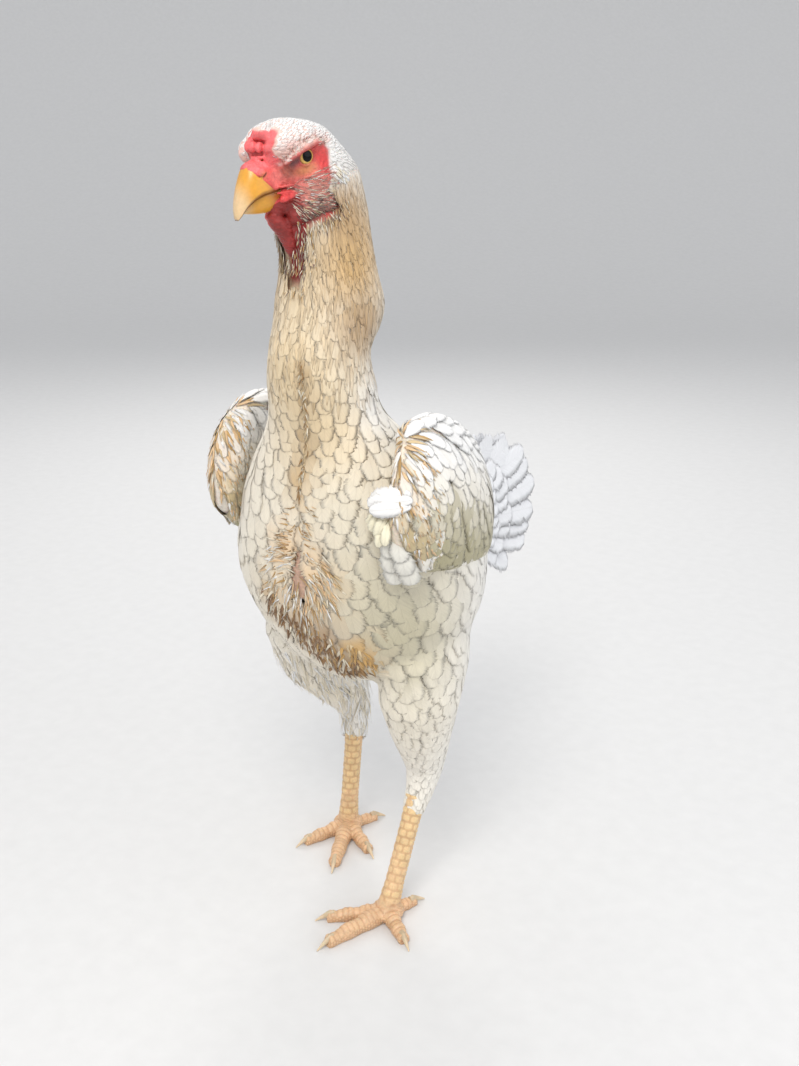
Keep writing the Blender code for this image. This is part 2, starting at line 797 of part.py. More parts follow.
def make_wing_core(side):
    """The folded arm and hand as a plate, thick at the leading edge."""
    rings = []
    for share in spread(0.0, CORE_END, 13):
        _, _, _, half_height, thickness = along(WING_STATIONS, share)
        ring = []
        sides = 16
        for k in range(sides):
            turn = 2 * math.pi * k / sides
            rise = half_height * math.cos(turn)
            out = thickness / 2 * fullness(turn, 0.6)
            ring.append(wing_point(side, share, rise, out))
        rings.append(ring)
    return loft("wing_" + side_name(side), rings)


def vane(place, rows):
    """A closed feather vane. Rows are (share of the length, share of the half width), and
    place(share, across, face) gives the points of its outer and inner face."""
    work = bmesh.new()
    faces = []
    for face in (0.5, -0.5):
        grid = []
        for share, width in rows:
            grid.append([work.verts.new(place(share, across * width, face)) for across in (-1, 0, 1)])
        faces.append(grid)
    for outer in faces:
        for low, high in zip(outer, outer[1:]):
            for k in range(2):
                work.faces.new((low[k], low[k + 1], high[k + 1]))
                work.faces.new((low[k], high[k + 1], high[k]))
    rims = [[(grid[k][n]) for k in range(len(rows))] for grid in faces for n in (0, 2)]
    ends = [grid[k] for grid in faces for k in (0, -1)]
    for one, other in ((rims[0], rims[2]), (rims[1], rims[3]), (ends[0], ends[2]), (ends[1], ends[3])):
        for k in range(len(one) - 1):
            work.faces.new((one[k], one[k + 1], other[k + 1]))
            work.faces.new((one[k], other[k + 1], other[k]))
    return finish_mesh(work, "vane")


def wing_vane(side, line, root, tip, lift):
    """A feather along one line of the wing, its root sunk in the wing and its lower edge out."""
    height = TOP_LINE - LINE_STEP * line

    def place(share, across, face):
        station = root + (tip - root) * share
        half_height = max(along(WING_STATIONS, station)[3], 0.010)
        rise = half_height * (height + LINE_STEP * across)
        sunk = -0.0016 - lift
        above = lift + sunk * max(0.0, 1.0 - (station - root) / ROOT_RISE)
        out = wing_skin(station, rise) + above - VANE_TILT * across + VANE * face
        return wing_point(side, station, rise, out)

    return vane(place, VANE_ROWS)


def make_wing(side, trunk, neck):
    """The wing with its feathers in tiers, each tier lying over the roots of the next."""
    wing = make_wing_core(side)
    vanes = []
    for count, root, tip, later, lift in WING_TIERS:
        for line in range(count):
            vanes.append(wing_vane(side, line, root, tip + later * line, lift))
    combine(wing, vanes, "UNION")
    cut_away(wing, trunk, neck)
    return wing


def tail_vane(side, line, tip, reach, lift):
    """A tail feather from the root to a share of its line, on one side of the tent."""
    root = Vector((TAIL_ROOT[0], TAIL_ROOT[1] + TAIL_ROOT_STEP * line))
    run = Vector(tip[:2]) - root
    beside = Vector((-run.y, run.x)).normalized()

    def place(share, across, face):
        wide = tip[2] * (0.45 + 0.55 * min(1.0, share * reach * 1.6))
        spot = root + run * (share * reach) + beside * (across * wide)
        tent = TENT_HALF + TENT_SLOPE * max(0.0, TENT_TOP - spot.y)
        out = tent + lift - TAIL_STACK * line - TAIL_TILT * across + VANE * face
        return Vector((out * side, spot.x, spot.y))

    return vane(place, VANE_ROWS)


def make_tail():
    """The folded tail: seven feathers a side with shorter ones over their roots."""
    rings = []
    for place in spread(TAIL_STATIONS[0][0], TAIL_STATIONS[-1][0], 8):
        low, high, half_width = along(TAIL_STATIONS, place)
        ring = []
        sides = 14
        for k in range(sides):
            turn = 2 * math.pi * k / sides
            height = (low + high) / 2 + (high - low) / 2 * math.cos(turn)
            width = half_width * math.sin(turn) * (1.0 - 0.35 * math.cos(turn))
            ring.append(Vector((width, place, height)))
        rings.append(ring)
    tail = loft("tail", rings)
    vanes = [tail_vane(1, -1.5, UPRIGHT_TIP, 1.0, 0.0)]
    for side in (1, -1):
        for line, tip in enumerate(TAIL_TIPS):
            vanes.append(tail_vane(side, line, tip, 1.0, 0.0))
            vanes.append(tail_vane(side, line, tip, COVERT_REACH, COVERT_LIFT))
    combine(tail, vanes, "UNION")
    ahead = box("ahead", (-0.1, 0.0, 0.1), (0.1, TAIL_PLANE + GAP, 0.5))
    combine(tail, [ahead], "DIFFERENCE")
    return tail


def make_leg(side, trunk):
    """The feathered drumstick, hock and top of the shank."""
    stations = LEFT_LEG if side > 0 else RIGHT_LEG
    leg = tube("thigh_" + side_name(side), stations, 20)
    cut_away(leg, trunk)
    return leg


def toe_stations(palm, tip, half_width):
    """Rings of a toe from the palm to where its claw starts: place, radius, the scute's rise."""
    start = Vector((palm[0], palm[1], 0.0))
    run = Vector((tip[0], tip[1], 0.0)) - start
    length = run.length - CLAW_LENGTH * 0.75
    run.normalize()
    stations = []
    for k in range(TOE_SCUTES):
        for part, rise in ((0.0, 0.0), (0.93, SCUTE_STEP)):
            share = (k + part) / (TOE_SCUTES - 0.07)
            pads = 1.0 + 0.07 * math.cos(share * 6 * math.pi)
            radius = half_width * (1.0 - 0.36 * share) * pads
            if share > 0.99:
                radius *= 0.82
            stations.append((start + run * (length * share), radius, rise))
    return stations, run


def toe_ring(place, run, radius, rise):
    side = Vector((-run.y, run.x, 0.0))
    ring = []
    count = 8
    for k in range(count):
        turn = 2 * math.pi * (k + 0.5) / count
        height = radius * 0.72 + radius * 1.02 * math.cos(turn)
        if height > radius * 0.72:
            height += rise
        ring.append(place + side * (radius * math.sin(turn)) + Vector((0, 0, height)))
    return ring


def make_foot(side):
    """Palm and four toes, flat underneath at the ground."""
    name = side_name(side)
    palm = LEFT_PALM if side > 0 else RIGHT_PALM
    toes = LEFT_TOES if side > 0 else RIGHT_TOES
    axes = (Vector((1, 0, 0)), Vector((0, 1, 0)), Vector((0, 0, 1)))
    middle = Vector((palm[0], palm[1], PALM_HEIGHT * 0.42))
    foot = ellipsoid("foot_" + name, middle, axes, (0.0135, 0.0135, PALM_HEIGHT), rows=8, sides=12)
    pieces = []
    for toe, (x, y, half_width) in toes.items():
        stations, run = toe_stations(palm, (x, y), half_width)
        rings = [toe_ring(place, run, radius, rise) for place, radius, rise in stations]
        pieces.append(loft("toe_" + toe, rings))
    combine(foot, pieces, "UNION")
    below = box("below", (-0.2, -0.2, -0.05), (0.2, 0.2, 0.0))
    combine(foot, [below], "DIFFERENCE")
    return foot


def make_claws(side, foot):
    """A curved cone on the end of each toe."""
    palm = LEFT_PALM if side > 0 else RIGHT_PALM
    toes = LEFT_TOES if side > 0 else RIGHT_TOES
    claws = []
    for toe, (x, y, half_width) in toes.items():
        stations, run = toe_stations(palm, (x, y), half_width)
        root, radius, _ = stations[-1]
        rings = []
        for share in spread(0.0, 1.0, 6):
            reach = CLAW_LENGTH * share
            thick = CLAW_RADIUS * (1.0 - 0.86 * share)
            height = radius * 0.80 * (1.0 - share**1.6) + thick + GAP
            place = root + run * (reach - CLAW_LENGTH * 0.25) + Vector((0, 0, height))
            ring = []
            across = Vector((-run.y, run.x, 0.0))
            for k in range(8):
                turn = 2 * math.pi * k / 8
                lift = Vector((0, 0, thick * math.sin(turn)))
                ring.append(place + across * (thick * 0.8 * math.cos(turn)) + lift)
            rings.append(ring)
        claw = loft("claw_" + side_name(side) + "_" + toe, rings)
        cut_away(claw, foot)
        claws.append(claw)
    return claws


def make_shank(side, leg, foot):
    """The bare shank with two columns of scutes in front, half a step out of phase."""
    stations = LEFT_LEG if side > 0 else RIGHT_LEG
    palm = LEFT_PALM if side > 0 else RIGHT_PALM
    top = Vector(stations[-1][:3])
    bottom = Vector((palm[0], palm[1], PALM_HEIGHT * 0.6))
    run = bottom - top
    across = Vector((1, 0, 0)) - run * (run.x / run.length_squared)
    across.normalize()
    fore = run.cross(across).normalized()
    if fore.y > 0:
        fore = -fore
    rings = []
    for k in range(SHANK_SCUTES):
        for part, stand in ((0.0, 0.0), (0.93, SCUTE_STEP)):
            ring = []
            sides = 12
            for n in range(sides):
                turn = 2 * math.pi * n / sides
                late = 0.5 if 0 < n < sides / 2 else 0.0
                groove = n % (sides // 2) == 0
                share = (k + part + (0.25 if groove else late)) / SHANK_SCUTES - 0.03
                swell = 1.0 + 0.22 * max(0.0, share - 0.7) / 0.3
                reach = 0.0 if groove else stand
                wide = across * (math.sin(turn) * (SHANK_WIDTH * swell + reach))
                deep = fore * (math.cos(turn) * (SHANK_DEPTH * swell + reach))
                ring.append(top.lerp(bottom, share) + wide + deep)
            rings.append(ring)
    shank = loft("shank_" + side_name(side), rings)
    cut_away(shank, leg, foot)
    return shank


def recentre(pieces):
    """Moves the bird so that the middle of its whole box's base is the origin."""
    corners = [corner.co for piece in pieces for corner in piece.data.vertices]
    low = [min(corner[k] for corner in corners) for k in range(3)]
    high = [max(corner[k] for corner in corners) for k in range(3)]
    shift = Vector((-(low[0] + high[0]) / 2, -(low[1] + high[1]) / 2, -low[2]))
    for piece in pieces:
        piece.data.transform(Matrix.Translation(shift))


def finish(piece, slot, collection):
    piece.data.materials.clear()
    piece.data.materials.append(material(slot))
    for polygon in piece.data.polygons:
        polygon.material_index = 0
    piece.data.shade_smooth()
    piece.data.set_sharp_from_angle(angle=math.radians(40.0))
    for holder in list(piece.users_collection):
        holder.objects.unlink(piece)
    collection.objects.link(piece)


def build():
    clear_scene()
    collection = new_collection("shamo_chicken")
    trunk = make_trunk()
    neck_lower = make_lower_neck()
    neck_upper = make_upper_neck()
    head = make_head()
    upper_beak = make_upper_beak(head)
    lower_beak = make_lower_beak(head)
    comb = make_comb(head, upper_beak)
    dewlap = make_dewlap((head, neck_upper, neck_lower, lower_beak))
    slots = {
        "plumage": [trunk, neck_lower, neck_upper, head],
        "horn": [upper_beak, lower_beak],
        "face_skin": [comb, dewlap],
        "flight_feathers": [make_tail()],
        "leg_scales": [],
        "claw_horn": [],
        "eye": [],
    }
    for side in (1, -1):
        leg = make_leg(side, trunk)
        foot = make_foot(side)
        slots["plumage"].append(leg)
        slots["leg_scales"] += [foot, make_shank(side, leg, foot)]
        slots["claw_horn"] += make_claws(side, foot)
        slots["flight_feathers"].append(make_wing(side, trunk, neck_lower))
        slots["eye"].append(make_eye(side))
    recentre([piece for pieces in slots.values() for piece in pieces])
    for slot, pieces in slots.items():
        for piece in pieces:
            finish(piece, slot, collection)


build()
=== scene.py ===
"""Looks of the shamo chicken: one skin, its coat of feathers, scales, horn and eyes.

Lengths are metres. Places are given in the bird's own frame, from the point on the ground midway
between its feet, with the bird facing -Y and +X on its left. SHIFT carries them into the frame of
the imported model. Places on the head are given along its own axes: forward, left and up.
"""

import math

import bpy
import numpy as np
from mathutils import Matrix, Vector
from mathutils.bvhtree import BVHTree


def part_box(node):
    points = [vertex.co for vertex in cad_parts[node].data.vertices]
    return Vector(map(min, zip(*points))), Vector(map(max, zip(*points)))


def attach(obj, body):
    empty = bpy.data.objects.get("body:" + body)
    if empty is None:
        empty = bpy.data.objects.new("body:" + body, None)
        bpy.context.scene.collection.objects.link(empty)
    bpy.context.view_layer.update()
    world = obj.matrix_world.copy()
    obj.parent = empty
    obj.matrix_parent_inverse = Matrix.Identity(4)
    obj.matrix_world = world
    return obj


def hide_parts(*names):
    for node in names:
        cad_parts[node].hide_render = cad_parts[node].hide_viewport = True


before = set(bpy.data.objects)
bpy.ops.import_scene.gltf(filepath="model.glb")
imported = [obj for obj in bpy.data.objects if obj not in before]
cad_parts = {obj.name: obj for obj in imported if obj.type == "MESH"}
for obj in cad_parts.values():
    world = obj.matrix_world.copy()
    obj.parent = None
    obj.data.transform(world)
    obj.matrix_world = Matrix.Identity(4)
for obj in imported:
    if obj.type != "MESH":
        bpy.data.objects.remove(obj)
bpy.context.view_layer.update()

# Head: the point midway between the eyes, its turn to the bird's right and its nod
HEAD_ORIGIN = np.array([-0.0072, -0.0667, 0.5902])
HEAD_TURN = math.radians(15.0)
HEAD_NOD = math.radians(24.0)

# Skull and cheeks by level of the head: up, back, front, half width, taper to the beak, squareness
HEAD_SECTIONS = (
    (-0.0290, -0.0452, 0.0275, 0.0250, 0.55, 0.90),
    (-0.0215, -0.0424, 0.0292, 0.0250, 0.55, 0.85),
    (-0.0130, -0.0388, 0.0276, 0.0248, 0.55, 0.80),
    (-0.0050, -0.0350, 0.0276, 0.0241, 0.55, 0.75),
    (0.0030, -0.0308, 0.0272, 0.0236, 0.42, 0.70),
    (0.0090, -0.0264, 0.0264, 0.0234, 0.30, 0.62),
    (0.0140, -0.0204, 0.0252, 0.0230, 0.22, 0.58),
    (0.0180, -0.0148, 0.0236, 0.0216, 0.15, 0.58),
    (0.0210, -0.0094, 0.0212, 0.0186, 0.10, 0.64),
    (0.0230, -0.0056, 0.0180, 0.0150, 0.00, 0.60),
    (0.0241, -0.0010, 0.0110, 0.0080, 0.00, 0.80),
)
# Hollow of the forehead that holds the comb: up, forward, and its half width
FOREHEAD = (
    (-0.0020, 0.0400),
    (0.0040, 0.0255),
    (0.0090, 0.0206),
    (0.0140, 0.0176),
    (0.0180, 0.0128),
    (0.0210, 0.0070),
    (0.0241, 0.0040),
)
FOREHEAD_WIDTH = 0.0102
# Swellings of the face: forward, left, up, reach, height
FACE_FORMS = (
    (0.0120, 0.0200, 0.0100, 0.0100, 0.0032),
    (-0.0020, 0.0215, 0.0110, 0.0090, 0.0026),
    (0.0060, 0.0200, -0.0010, 0.0060, 0.0012),
    (0.0190, 0.0150, 0.0015, 0.0070, -0.0020),
    (-0.0040, 0.0205, -0.0150, 0.0110, 0.0022),
    (0.0100, 0.0170, -0.0170, 0.0080, 0.0016),
)
# Comb: folds as places forward, left and up along each, and the radius
COMB_FOLDS = (
    (((0.0165, -0.0065, 0.0194), (0.0155, -0.0010, 0.0208), (0.0156, 0.0065, 0.0206),
      (0.0172, 0.0138, 0.0176)), 0.0036),
    (((0.0180, -0.0078, 0.0184), (0.0212, -0.0082, 0.0156), (0.0226, -0.0072, 0.0124)), 0.0032),
    (((0.0192, -0.0022, 0.0180), (0.0218, -0.0024, 0.0156), (0.0232, -0.0022, 0.0126)), 0.0030),
    (((0.0192, 0.0038, 0.0176), (0.0218, 0.0042, 0.0152), (0.0230, 0.0040, 0.0126)), 0.0029),
    (((0.0186, 0.0112, 0.0162), (0.0204, 0.0118, 0.0140), (0.0212, 0.0112, 0.0116)), 0.0029),
    (((0.0232, -0.0080, 0.0098), (0.0246, 0.0000, 0.0094), (0.0234, 0.0084, 0.0096)), 0.0016),
    (((0.0246, -0.0066, 0.0070), (0.0262, 0.0004, 0.0064), (0.0250, 0.0074, 0.0068)), 0.0014),
)
# Eggs of the head: forward, left, up and their reach along the same three ways
RIGHT_PUFF = (0.0130, 0.0180, 0.0098, 0.0115, 0.0070, 0.0090)
CHIN = (0.0225, 0.0, -0.0222, 0.0090, 0.0098, 0.0084)
EAR_LOBE = (-0.0150, 0.0215, -0.0190, 0.0042, 0.0032, 0.0065)
GAPE_FOLD = (0.0185, 0.0124, -0.0190, 0.0085, 0.0034, 0.0036)
NOSTRIL_FLAP = (0.0296, 0.0092, 0.0016, 0.0042, 0.0026, 0.0030)
# Skin over the root of the upper beak: its front edge and its lean, its length and thickness,
# how much of that is lost at the edge and over what length, and how far ahead it takes the ridge
CERE_EDGE = 0.0262
CERE_SLOPE = 0.60
CERE_LENGTH = 0.014
CERE_THICK = 0.0007
CERE_THINNER = 0.0006
CERE_ROUNDED = 0.0012
CERE_AHEAD = 0.0125

# Eyes: place of the left one, the turn of their gaze, half openings of lids and pupil
EYE_RADIUS = 0.0078
EYE_PLACE = (0.0, 0.0139, 0.0)
EYE_FORWARD = math.radians(2.0)
LID_OPENING = math.radians(46.0)
PUPIL_ANGLE = math.radians(28.0)
# Each lid: how much it narrows the opening and how far the corners lean
UPPER_LID = (0.40, 0.40)
LOWER_LID = (0.18, 0.05)
# Height of the lids over the eyeball and of their rims, and the rim's place and width in radians
LID_HEIGHT = 0.0006
RIM_HEIGHT = 0.0006
RIM_ANGLE = 0.07
# Creases round the eye: height, step from one to the next, and where the lids end in radians
CREASE_HEIGHT = 0.00022
CREASE_STEP = 0.0013
LID_END = 1.45
# Folds and pores of the face, grain and lumps of the comb: height, size
FACE_FOLDS = (0.00034, 0.0017)
FACE_PORES = (0.00016, 0.0011)
COMB_GRAIN = (0.00018, 0.0012)
COMB_LUMPS = (0.00036, 0.0022)
NOSTRIL_DEPTH = 0.0016
GAPE_DEPTH = 0.0009

# Upper beak: forward, ridge, edge of the mouth, half width
UPPER_BEAK = (
    (0.0130, 0.0085, -0.0125, 0.0112),
    (0.0280, 0.0092, -0.0118, 0.0112),
    (0.0350, 0.0086, -0.0106, 0.0105),
    (0.0420, 0.0024, -0.0112, 0.0090),
    (0.0480, -0.0046, -0.0136, 0.0069),
    (0.0525, -0.0108, -0.0170, 0.0046),
    (0.0551, -0.0158, -0.0192, 0.0020),
)
# Lower beak: forward, edge of the mouth, underside, half width
LOWER_BEAK = (
    (0.0180, -0.0135, -0.0250, 0.0094),
    (0.0260, -0.0124, -0.0250, 0.0088),
    (0.0340, -0.0112, -0.0240, 0.0078),
    (0.0410, -0.0121, -0.0214, 0.0058),
    (0.0460, -0.0142, -0.0190, 0.0038),
    (0.0488, -0.0160, -0.0174, 0.0014),
)

# Camera: lens in millimetres, place and where it looks
LENS = 39.0
CAMERA_PLACE = (0.5110, -0.6800, 0.6000)
CAMERA_AZIMUTH = math.radians(35.0)
CAMERA_PITCH = math.radians(18.8)


def colour(red, green, blue):
    """A colour seen on a screen, from 0 to 255, as the light that Blender works with."""
    share = np.array([red, green, blue]) / 255.0
    return np.where(share < 0.04045, share / 12.92, ((share + 0.055) / 1.055) ** 2.4)


WHITE = colour(243, 242, 240)
TAIL_WHITE = colour(232, 233, 236)
CREAM = colour(234, 224, 202)
SAND = colour(216, 192, 150)
TAN = colour(194, 156, 98)
HACKLE = colour(162, 122, 70)
OCHRE = colour(206, 164, 98)
DIRT = colour(140, 104, 66)
# Painted shade: an olive grey that darkens the lower breast, the flank feathers and the lower part of
# the wings
SHADE = colour(172, 164, 128)
GROOVE = colour(178, 150, 110)
LEMON = colour(242, 235, 208)
PIN = colour(236, 200, 154)
BARE_SKIN = colour(196, 160, 138)
RED = colour(214, 62, 62)
COMB_RED = colour(238, 108, 110)
ROSE = colour(222, 120, 112)
THROAT_RED = colour(146, 40, 36)
LORE = colour(156, 86, 70)
LID = colour(208, 132, 88)
BRISTLE = colour(140, 112, 98)
DARK_BRISTLE = colour(96, 66, 56)
BEAK_YELLOW = colour(220, 156, 46)
BEAK_ORANGE = colour(198, 122, 52)
BEAK_TIP = colour(224, 192, 146)
MOUTH = colour(110, 60, 40)
LEG_YELLOW = colour(232, 202, 148)
LEG_PINK = colour(220, 180, 142)
LEG_GROOVE = colour(168, 112, 78)
CLAW = colour(216, 194, 160)
IRIS = colour(232, 196, 112)
IRIS_EDGE = colour(150, 96, 40)
PUPIL = colour(3, 3, 4)


SIDE_WORDS = {1: "left", -1: "right"}


def unit(vectors):
    lengths = np.linalg.norm(vectors, axis=-1, keepdims=True)
    return vectors / np.maximum(lengths, 1e-12)


def ramp(low, high, value):
    """0 below low, 1 above high and a smooth rise between them."""
    share = np.clip((value - low) / (high - low), 0.0, 1.0)
    return share * share * (3 - 2 * share)


def blend(one, other, share):
    return one + (other - one) * share


def along(stations, place):
    """The values between stations (place, value, ...) on a smooth curve, a row for each place."""
    table = np.array(stations, float)
    x = table[:, 0]
    values = table[:, 1:]
    place = np.atleast_1d(np.asarray(place, float))
    slopes = np.empty_like(values)
    slopes[1:-1] = (values[2:] - values[:-2]) / (x[2:] - x[:-2])[:, None]
    slopes[0] = (values[1] - values[0]) / (x[1] - x[0])
    slopes[-1] = (values[-1] - values[-2]) / (x[-1] - x[-2])
    index = np.clip(np.searchsorted(x, place, side="right") - 1, 0, len(x) - 2)
    span = (x[index + 1] - x[index])[:, None]
    t = (place[:, None] - x[index][:, None]) / span
    inside = np.clip(t, 0.0, 1.0)
    curve = (
        (2 * inside**3 - 3 * inside**2 + 1) * values[index]
        + (inside**3 - 2 * inside**2 + inside) * slopes[index] * span
        + (3 * inside**2 - 2 * inside**3) * values[index + 1]
        + (inside**3 - inside**2) * slopes[index + 1] * span
    )
    beyond = np.maximum(t - 1.0, 0.0) * slopes[index + 1] + np.minimum(t, 0.0) * slopes[index]
    return curve + beyond * span


def noise(points, size, seed=0):
    """Smooth noise from -1 to 1 whose bumps are about size across."""
    scaled = np.asarray(points, float) / size + 31.7 * (seed + 1)
    cell = np.floor(scaled).astype(np.int64)
    part = scaled - cell
    part = part * part * (3 - 2 * part)
    total = np.zeros(len(scaled))
    for corner in range(8):
        step = np.array([corner & 1, corner >> 1 & 1, corner >> 2 & 1])
        mixed = (cell + step) @ np.array([374761393, 668265263, 1274126177])
        mixed = (mixed ^ (mixed >> 13)) * 1103515245 + seed * 12345
        value = ((mixed ^ (mixed >> 16)) & 0xFFFF) / 32767.5 - 1.0
        weight = np.prod(np.where(step == 1, part, 1 - part), axis=1)
        total += value * weight
    return total


def head_axes():
    """Forward, left and up of the head as the rows of a matrix."""
    forward = (
        -math.sin(HEAD_TURN) * math.cos(HEAD_NOD),
        -math.cos(HEAD_TURN) * math.cos(HEAD_NOD),
        -math.sin(HEAD_NOD),
    )
    left = (math.cos(HEAD_TURN), -math.sin(HEAD_TURN), 0.0)
    return np.array([forward, left, np.cross(forward, left)])


HEAD_AXES = head_axes()


def head_point(places):
    return HEAD_ORIGIN + np.asarray(places, float) @ HEAD_AXES


def on_head(points):
    """Forward, left and up of points of the bird."""
    return (np.asarray(points) - HEAD_ORIGIN) @ HEAD_AXES.T


EYE_MIDDLE = head_point(EYE_PLACE)
eye_low, eye_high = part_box("eye_left")
SHIFT = (np.array(eye_low) + np.array(eye_high)) / 2 - EYE_MIDDLE


def away(polygon, x, y):
    """Distance of points to a flat outline, less than 0 inside it."""
    corners = np.array(polygon, float)
    best = np.full(len(x), 1e9)
    inside = np.zeros(len(x), bool)
    for a, b in zip(corners, np.roll(corners, -1, axis=0)):
        edge = b - a
        share = ((x - a[0]) * edge[0] + (y - a[1]) * edge[1]) / (edge @ edge)
        share = np.clip(share, 0.0, 1.0)
        best = np.minimum(best, np.hypot(x - a[0] - share * edge[0], y - a[1] - share * edge[1]))
        crosses = (a[1] > y) != (b[1] > y)
        reach = a[0] + (y - a[1]) / np.where(edge[1] == 0, 1e-12, edge[1]) * edge[0]
        inside ^= crosses & (x < reach)
    return np.where(inside, -best, best)


# Closed forms in plain arrays: points and triangles


def circle(steps):
    """Even steps of a whole turn."""
    return np.linspace(0, 2 * math.pi, steps, endpoint=False)


def grid_faces(rows, columns):
    """Triangles of rows of points that each close on themselves."""
    low = np.arange(rows - 1)[:, None] * columns
    here = np.arange(columns)[None, :]
    there = (here + 1) % columns
    corners = np.stack([low + here, low + there, low + there + columns, low + here + columns], -1)
    corners = corners.reshape(-1, 4)
    return np.concatenate([corners[:, [0, 1, 2]], corners[:, [0, 2, 3]]])


def loft(rings):
    """A closed form over rings of as many points each, with a fan over both ends."""
    rings = np.asarray(rings, float)
    rows, columns = rings.shape[:2]
    points = np.concatenate([rings.reshape(-1, 3), [rings[0].mean(0), rings[-1].mean(0)]])
    here = np.arange(columns)
    there = (here + 1) % columns
    first = np.stack([there, here, np.full(columns, rows * columns)], 1)
    top = (rows - 1) * columns
    last = np.stack([top + here, top + there, np.full(columns, rows * columns + 1)], 1)
    return points, np.concatenate([grid_faces(rows, columns), first, last])


def egg(place, radii, axes=None, rows=18, sides=24):
    """A closed egg round a place, its radii along the rows of axes."""
    axes = np.eye(3) if axes is None else axes
    tilt = np.linspace(0.04, math.pi - 0.04, rows)[:, None]
    turn = circle(sides)[None, :]
    flat = np.sin(tilt)
    unit_points = np.stack([flat * np.cos(turn), flat * np.sin(turn), np.cos(tilt) + 0 * turn], -1)
    return loft(np.asarray(place) + (unit_points * np.asarray(radii)) @ axes)


def head_egg(form, side=1):
    place = head_point((form[0], form[1] * side, form[2]))
    return egg(place, form[3:], HEAD_AXES)


def rope(points, radii, sides=12, flat=1.0, closed=False):
    """A round or flattened band along points, with a radius at each."""
    points = np.asarray(points, float)
    radii = np.broadcast_to(radii, len(points))
    if closed:
        run = unit(np.roll(points, -1, 0) - np.roll(points, 1, 0))
    else:
        run = unit(np.gradient(points, axis=0))
    middle = points.mean(0)
    outward = points - middle
    outward = unit(outward - run * (outward * run).sum(1, keepdims=True))
    across = np.cross(run, outward)
    turn = circle(sides)
    ring = np.cos(turn)[None, :, None] * outward[:, None] * flat
    ring = ring + np.sin(turn)[None, :, None] * across[:, None]
    rings = points[:, None] + ring * radii[:, None, None]
    if closed:
        rings = np.concatenate([rings, rings[:1]])
        faces = grid_faces(len(rings), sides)
        last = (len(rings) - 1) * sides
        faces = np.where(faces >= last, faces - last, faces)
        return rings[:-1].reshape(-1, 3), faces
    return loft(rings)


def joined(parts):
    """Several forms as one."""
    points = []
    faces = []
    count = 0
    for form_points, form_faces in parts:
        points.append(form_points)
        faces.append(form_faces + count)
        count += len(form_points)
    return np.concatenate(points), np.concatenate(faces)


def new_mesh(name, points, faces):
    """A mesh of faces that have as many corners each."""
    mesh = bpy.data.meshes.new(name)
    faces = np.asarray(faces, np.int32)
    count, corners = faces.shape
    mesh.vertices.add(len(points))
    mesh.vertices.foreach_set("co", np.asarray(points, np.float32).ravel())
    mesh.loops.add(count * corners)
    mesh.loops.foreach_set("vertex_index", faces.ravel())
    mesh.polygons.add(count)
    mesh.polygons.foreach_set("loop_start", np.arange(0, count * corners, corners, dtype=np.int32))
    mesh.update(calc_edges=True)
    return mesh


def new_object(name, mesh):
    made = bpy.data.objects.new(name, mesh)
    bpy.context.scene.collection.objects.link(made)
    return made


def evaluated(target):
    """The object's mesh with its modifiers applied. The object is removed."""
    bpy.context.view_layer.update()
    graph = bpy.context.evaluated_depsgraph_get()
    mesh = bpy.data.meshes.new_from_object(target.evaluated_get(graph))
    bpy.data.objects.remove(target, do_unlink=True)
    return mesh


def remeshed(points, faces, voxel, passes):
    """One closed surface round all the forms, smoothed."""
    work = new_object("work", new_mesh("work", points, faces))
    fuse = work.modifiers.new("fuse", "REMESH")
    fuse.mode = "VOXEL"
    fuse.voxel_size = voxel
    soften = work.modifiers.new("soften", "SMOOTH")
    soften.factor = 0.5
    soften.iterations = passes
    return evaluated(work)


def read(items, name, width, kind):
    """One property of all the items of a mesh, a row for each item."""
    values = np.empty(len(items) * width, kind)
    items.foreach_get(name, values)
    return values.reshape(-1, width)


def points_of(mesh):
    return read(mesh.vertices, "co", 3, np.float32).astype(float)


def normals_of(mesh):
    return read(mesh.vertex_normals, "vector", 3, np.float32).astype(float)


def triangles_of(mesh):
    mesh.calc_loop_triangles()
    return read(mesh.loop_triangles, "vertices", 3, np.int32)


def set_points(mesh, points):
    mesh.vertices.foreach_set("co", np.asarray(points, np.float32).ravel())
    mesh.update()


def cad_form(*nodes):
    """The shapes of CAD nodes, in the bird's own frame."""
    parts = []
    for node in nodes:
        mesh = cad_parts[node].data
        parts.append((points_of(mesh) - SHIFT, triangles_of(mesh)))
    return joined(parts)


def paint(mesh, name, colours):
    """Stores a colour for each point."""
    layer = mesh.color_attributes.new(name, "FLOAT_COLOR", "POINT")
    filled = np.ones((len(mesh.vertices), 4), np.float32)
    filled[:, :3] = colours
    layer.data.foreach_set("color", filled.ravel())


def set_map(mesh, name, places):
    """Stores a flat map place for each point."""
    layer = mesh.uv_layers.new(name=name)
    corners = read(mesh.loops, "vertex_index", 1, np.int32).ravel()
    layer.data.foreach_set("uv", np.asarray(places, np.float32)[corners].ravel())


